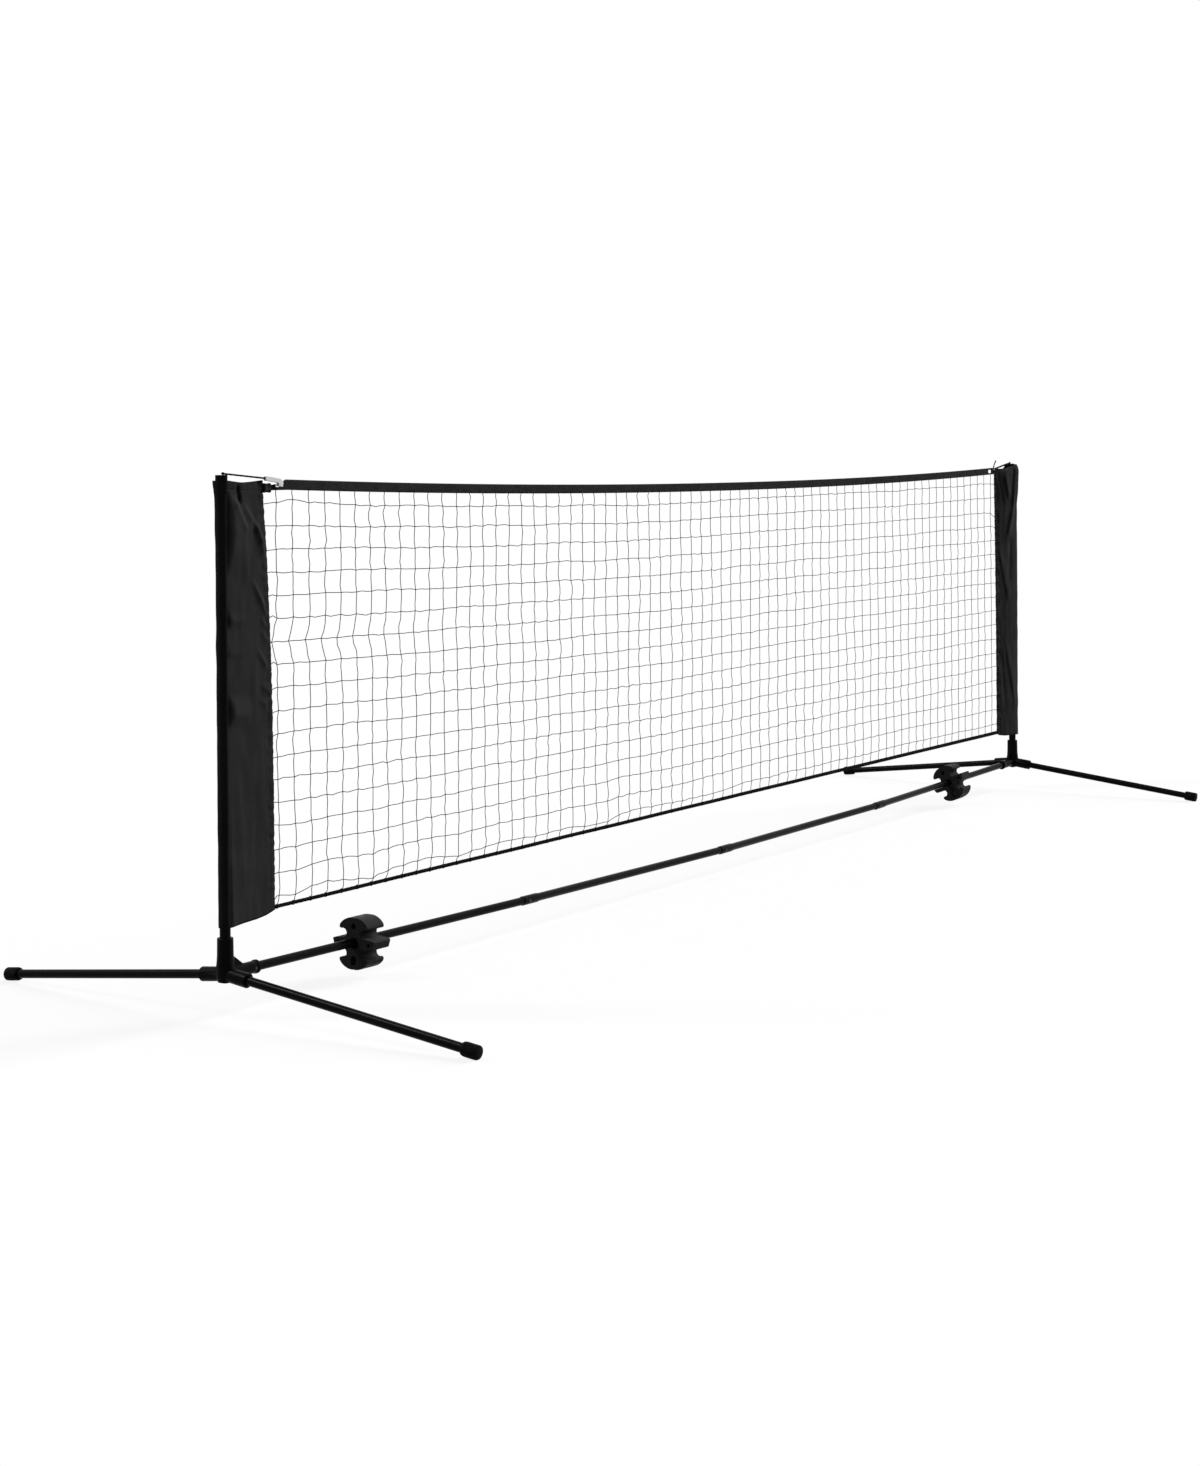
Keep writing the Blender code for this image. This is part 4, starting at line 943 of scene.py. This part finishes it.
# Heights of the top and bottom rows of knots, at distances from the left post
TOP_ROW = [(0.188, 0.8008), (0.50, 0.7872), (1.33, 0.7720), (2.57, 0.7856), (3.09, 0.7944)]
LOW_ROW = [(0.14, 0.1120), (1.60, 0.1120), (1.90, 0.1195), (3.08, 0.1205)]
# How far each of the lowest knots hangs off that line, in millimetres, from the left
SCALLOPS = [0.7, -4.3, 5.2, 6.2, 1.3, -3.7, -7.7, -1.0, -0.3, 2.7, 2.7, -2.0, -6.4, -1.9, -0.1, 1.7,
            1.5, 0.3, -1.5, -1.5, -1.5, -0.9, -6.9, -8.1, -8.1, 1.5, 3.9, 3.9, 0.9, -0.3, -1.5,
            -1.5, -1.5, -0.9, -0.8, -1.8, 1.0, 2.2, 1.4, 0.1, -2.1, -2.5, 0.2, 0.6]
# Each line's rise at the left sleeve and the bow of its last span, in millimetres, from the top
LEFT_RISES = [-2.0, 1.4, -1.4, 0.9, 0.0, 2.0, 0.0, 1.4, -4.3, -4.3, -3.8, -0.6, 0.9, 1.8, 2.0, 0.0,
              -3.0, -7.0]
LEFT_BOWS = [1.0, 0.0, 0.0, 0.5, 2.3, 4.0, 0.0, 4.5, 0.8, 0.8, 0.5, 0.0, 0.0, 0.0, 0.5, 0.5, 1.0,
             3.0]
# The same rise at the right sleeve, for the lines that have one
RIGHT_RISES = {2: -13.0, 3: -7.0}
MILLIMETRE = 0.001


def net_knot(strand, line):
    """A knot's x and z: a steady grid with slack in it, drawn in where it is tied tight."""
    x = NET_FIRST + (NET_LAST - NET_FIRST) * strand / (NET_STRANDS - 1)
    down = line / (NET_LINES - 1)
    high, low = between(TOP_ROW, x), between(LOW_ROW, x)
    z = high + (low - high) * down
    x += 0.0028 * noise.noise(Vector((strand * 0.35, line * 0.45, 1.3)))
    z += 0.0022 * noise.noise(Vector((strand * 0.35, line * 0.35, 7.7)))
    x += 0.0018 * noise.noise(Vector((strand * 1.9, line * 2.3, 4.1)))
    z += 0.0016 * noise.noise(Vector((strand * 2.1, line * 1.7, 9.2)))
    if strand < len(SCALLOPS):
        z += MILLIMETRE * SCALLOPS[strand] * math.exp(-(NET_LINES - 1 - line) / 1.5)
    if line == 0 and strand == 1:
        z += 0.0055
    x -= max(0.0, 0.0150 - 0.0011 * strand) * math.exp(-((line - 6) / 0.45) ** 2)
    return Vector((from_left(x), 0, above_axis(z)))


def slack_span(a, b, seed, slack):
    """Points from a to b, bowed a little to one side as loose twine is."""
    run = b - a
    aside = Vector((run.z, 0, -run.x)).normalized()
    bow = slack * noise.noise(Vector(seed))
    skew = slack * 0.5 * noise.noise(Vector(seed) + Vector((5.1, 2.2, 0.7)))
    return [a + run * 0.33 + aside * (bow + skew), a + run * 0.67 + aside * (bow - skew)]


def make_net():
    """Knotted netting of thin twine, tied to the tape, the bottom cord and both sleeves."""
    shape = Shape()
    knots = [[net_knot(k, line) for line in range(NET_LINES)] for k in range(NET_STRANDS)]
    cord_top = above_axis(CORD_HEIGHT)
    for k, column in enumerate(knots):
        x = column[0].x
        hem = tape_line(x + HALF_SPACING) - TAPE_HEIGHT
        start = Vector((x - 0.001, 0, above_axis(hem + 0.002)))
        lean = 0.0060 + 0.0060 * noise.noise(Vector((k * 0.9, 2, 3)))
        end = Vector((column[-1].x - lean * (1 - 0.6 * k / NET_STRANDS), 0, cord_top + 0.0015))
        stops = [start, *column, end]
        route = [stops[0]]
        for i, (a, b) in enumerate(zip(stops, stops[1:])):
            route += slack_span(a, b, (k * 0.31, i * 0.57, 2.5), DROP_SLACK)
            route.append(b)
        shape.tube(route, NET_RADIUS, 5)
        ring = []
        for i in range(13):
            t = 2 * math.pi * i / 12
            around = Vector((0.0006 * math.sin(t), LASHING_RADIUS * math.cos(t),
                             LASHING_RADIUS * math.sin(t)))
            ring.append(Vector((end.x, 0, cord_top)) + around)
        shape.tube(ring, NET_RADIUS, 5)
    for line in range(NET_LINES):
        row = [knots[k][line] for k in range(NET_STRANDS)]
        z_left, z_right = row[0].z - AXIS_HEIGHT, row[-1].z - AXIS_HEIGHT
        left = Vector((from_left(sleeve_width(LEFT, z_left) - 0.0015), 0,
                       row[0].z + MILLIMETRE * LEFT_RISES[line]))
        right = Vector((HALF_SPACING - sleeve_width(RIGHT, z_right) + 0.0015, 0,
                        row[-1].z + MILLIMETRE * RIGHT_RISES.get(line, 0.0)))
        bow = Vector((0, 0, MILLIMETRE * LEFT_BOWS[line]))
        stops = [left, left.lerp(row[0], 0.5) + bow, *row, right]
        route = [stops[0]]
        for i, (a, b) in enumerate(zip(stops, stops[1:])):
            slack = END_SLACK if i < 2 else LINE_SLACK
            route += slack_span(a, b, (i * 0.31, line * 0.93, 6.5), slack)
            route.append(b)
        shape.tube(route, NET_RADIUS, 5)
        for point in row:
            shape.lump(point, Vector(NET_KNOT))
    made = shape.finished("net_mesh_twine", FINISHES["dark_twine"], 80)
    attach(made, "frame")
    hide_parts("net_mesh")


# The bottom cord's radius at its left end and the growth to its right end, as shares of the CAD's
CORD_SWELL = (1.14, 0.50)


def make_bottom_cord():
    """A laid rope through the net's lowest loops, from sleeve to sleeve, fuller to the right."""
    first, last = tape_ends(CORD_HEIGHT)
    steps = 1500
    route = [Vector((from_left(first + (last - first) * i / steps), 0,
                     above_axis(CORD_HEIGHT) + 0.0004 * noise.noise(Vector((i * 0.01, 1.1, 2.2)))))
             for i in range(steps + 1)]
    swell, growth = CORD_SWELL
    shape = Shape()
    shape.tube(route, rope_reach(lambda i: CORD_RADIUS * (swell + growth * i / steps), 3, 9), 14)
    made = shape.finished("bottom_cord_rope", FINISHES["black_rope"], 80)
    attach(made, "frame")
    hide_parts("bottom_cord")


# Studio
def make_floor():
    """A pale floor that shows white to the eye and still takes the object's shadow."""
    shape = Shape()
    half = FLOOR_SIZE / 2
    shape.points = [Vector((x, y, FLOOR_HEIGHT)) for x, y in
                    ((-half, -half), (half, -half), (half, half), (-half, half))]
    shape.faces = [(0, 1, 2, 3)]
    material = bpy.data.materials.new("studio_floor")
    material.use_nodes = True
    tree = material.node_tree
    tree.nodes.clear()
    output = tree.nodes.new("ShaderNodeOutputMaterial")
    path = tree.nodes.new("ShaderNodeLightPath")
    plain = tree.nodes.new("ShaderNodeBsdfDiffuse")
    plain.inputs["Color"].default_value = (FLOOR_BOUNCE, FLOOR_BOUNCE, FLOOR_BOUNCE, 1)
    soft = tree.nodes.new("ShaderNodeBsdfDiffuse")
    soft.inputs["Color"].default_value = (FLOOR_SHADE, FLOOR_SHADE, FLOOR_SHADE, 1)
    glow = tree.nodes.new("ShaderNodeEmission")
    tree.links.new(rest_of_white(tree), glow.inputs["Strength"])
    added = tree.nodes.new("ShaderNodeAddShader")
    mix = tree.nodes.new("ShaderNodeMixShader")
    tree.links.new(soft.outputs[0], added.inputs[0])
    tree.links.new(glow.outputs[0], added.inputs[1])
    tree.links.new(seen(tree, path), mix.inputs[0])
    tree.links.new(plain.outputs[0], mix.inputs[1])
    tree.links.new(added.outputs[0], mix.inputs[2])
    tree.links.new(mix.outputs[0], output.inputs["Surface"])
    floor = shape.finished("floor", material)


def rest_of_white(tree):
    """What the floor's glow adds to the light it gets, so that it shows an even white."""
    place = tree.nodes.new("ShaderNodeNewGeometry").outputs["Position"]
    total = 1.0 - FLOOR_SHADE * AMBIENT
    for _, source, target, size, power, _ in LAMPS:
        aim = (Vector(target) - Vector(source)).normalized()
        upright = aim.cross(Vector((0, 0, 1))).cross(aim).normalized()
        for share in (-0.36, 0.0, 0.36):
            part = Vector(source) + upright * size[1] * share
            away = tree.nodes.new("ShaderNodeVectorMath")
            away.operation = "SUBTRACT"
            tree.links.new(place, away.inputs[0])
            away.inputs[1].default_value = part
            facing = tree.nodes.new("ShaderNodeVectorMath")
            facing.operation = "DOT_PRODUCT"
            tree.links.new(away.outputs[0], facing.inputs[0])
            facing.inputs[1].default_value = aim
            far = tree.nodes.new("ShaderNodeVectorMath")
            far.operation = "LENGTH"
            tree.links.new(away.outputs[0], far.inputs[0])
            falls = computed(tree, "POWER", far.outputs["Value"], 4.0)
            strength = power / 3 * part.z * FLOOR_SHADE / math.pi ** 2
            lit = computed(tree, "MULTIPLY",
                           computed(tree, "MAXIMUM", facing.outputs["Value"], 0.0), strength)
            total = computed(tree, "SUBTRACT", total, computed(tree, "DIVIDE", lit, falls))
    return computed(tree, "MAXIMUM", total, 0.0)


def seen(tree, path):
    """1 for the camera's rays and those in a reflection or through glass, else 0."""
    total = path.outputs["Is Camera Ray"]
    for name in ("Is Glossy Ray", "Is Transmission Ray"):
        total = computed(tree, "MAXIMUM", total, path.outputs[name])
    return total


def make_world(ambient):
    world = bpy.data.worlds.new("studio")
    world.use_nodes = True
    tree = world.node_tree
    backdrop = tree.nodes["Background"]
    backdrop.inputs["Color"].default_value = (1, 1, 1, 1)
    path = tree.nodes.new("ShaderNodeLightPath")
    level = tree.nodes.new("ShaderNodeMapRange")
    level.inputs["To Min"].default_value = ambient
    level.inputs["To Max"].default_value = 1.0
    tree.links.new(seen(tree, path), level.inputs["Value"])
    tree.links.new(level.outputs["Result"], backdrop.inputs["Strength"])
    bpy.context.scene.world = world


def make_lamp(name, source, target, size, power, mirrored):
    data = bpy.data.lights.new(name, "AREA")
    data.shape = "RECTANGLE"
    data.size, data.size_y = size
    data.energy = power
    lamp = bpy.data.objects.new(name, data)
    bpy.context.scene.collection.objects.link(lamp)
    lamp.location = source
    lamp.visible_glossy = mirrored
    lamp.rotation_euler = (Vector(target) - Vector(source)).to_track_quat("-Z", "Y").to_euler()


bpy.context.scene.view_settings.view_transform = "Standard"
make_camera()
make_left_tie()
make_right_tie()
for name in sorted(NODES):
    finish_node(name)
for side in (LEFT, RIGHT):
    make_sleeve(side)
make_tape()
make_loop()
make_net()
make_bottom_cord()
make_floor()
make_world(AMBIENT)
for lamp in LAMPS:
    make_lamp(*lamp)
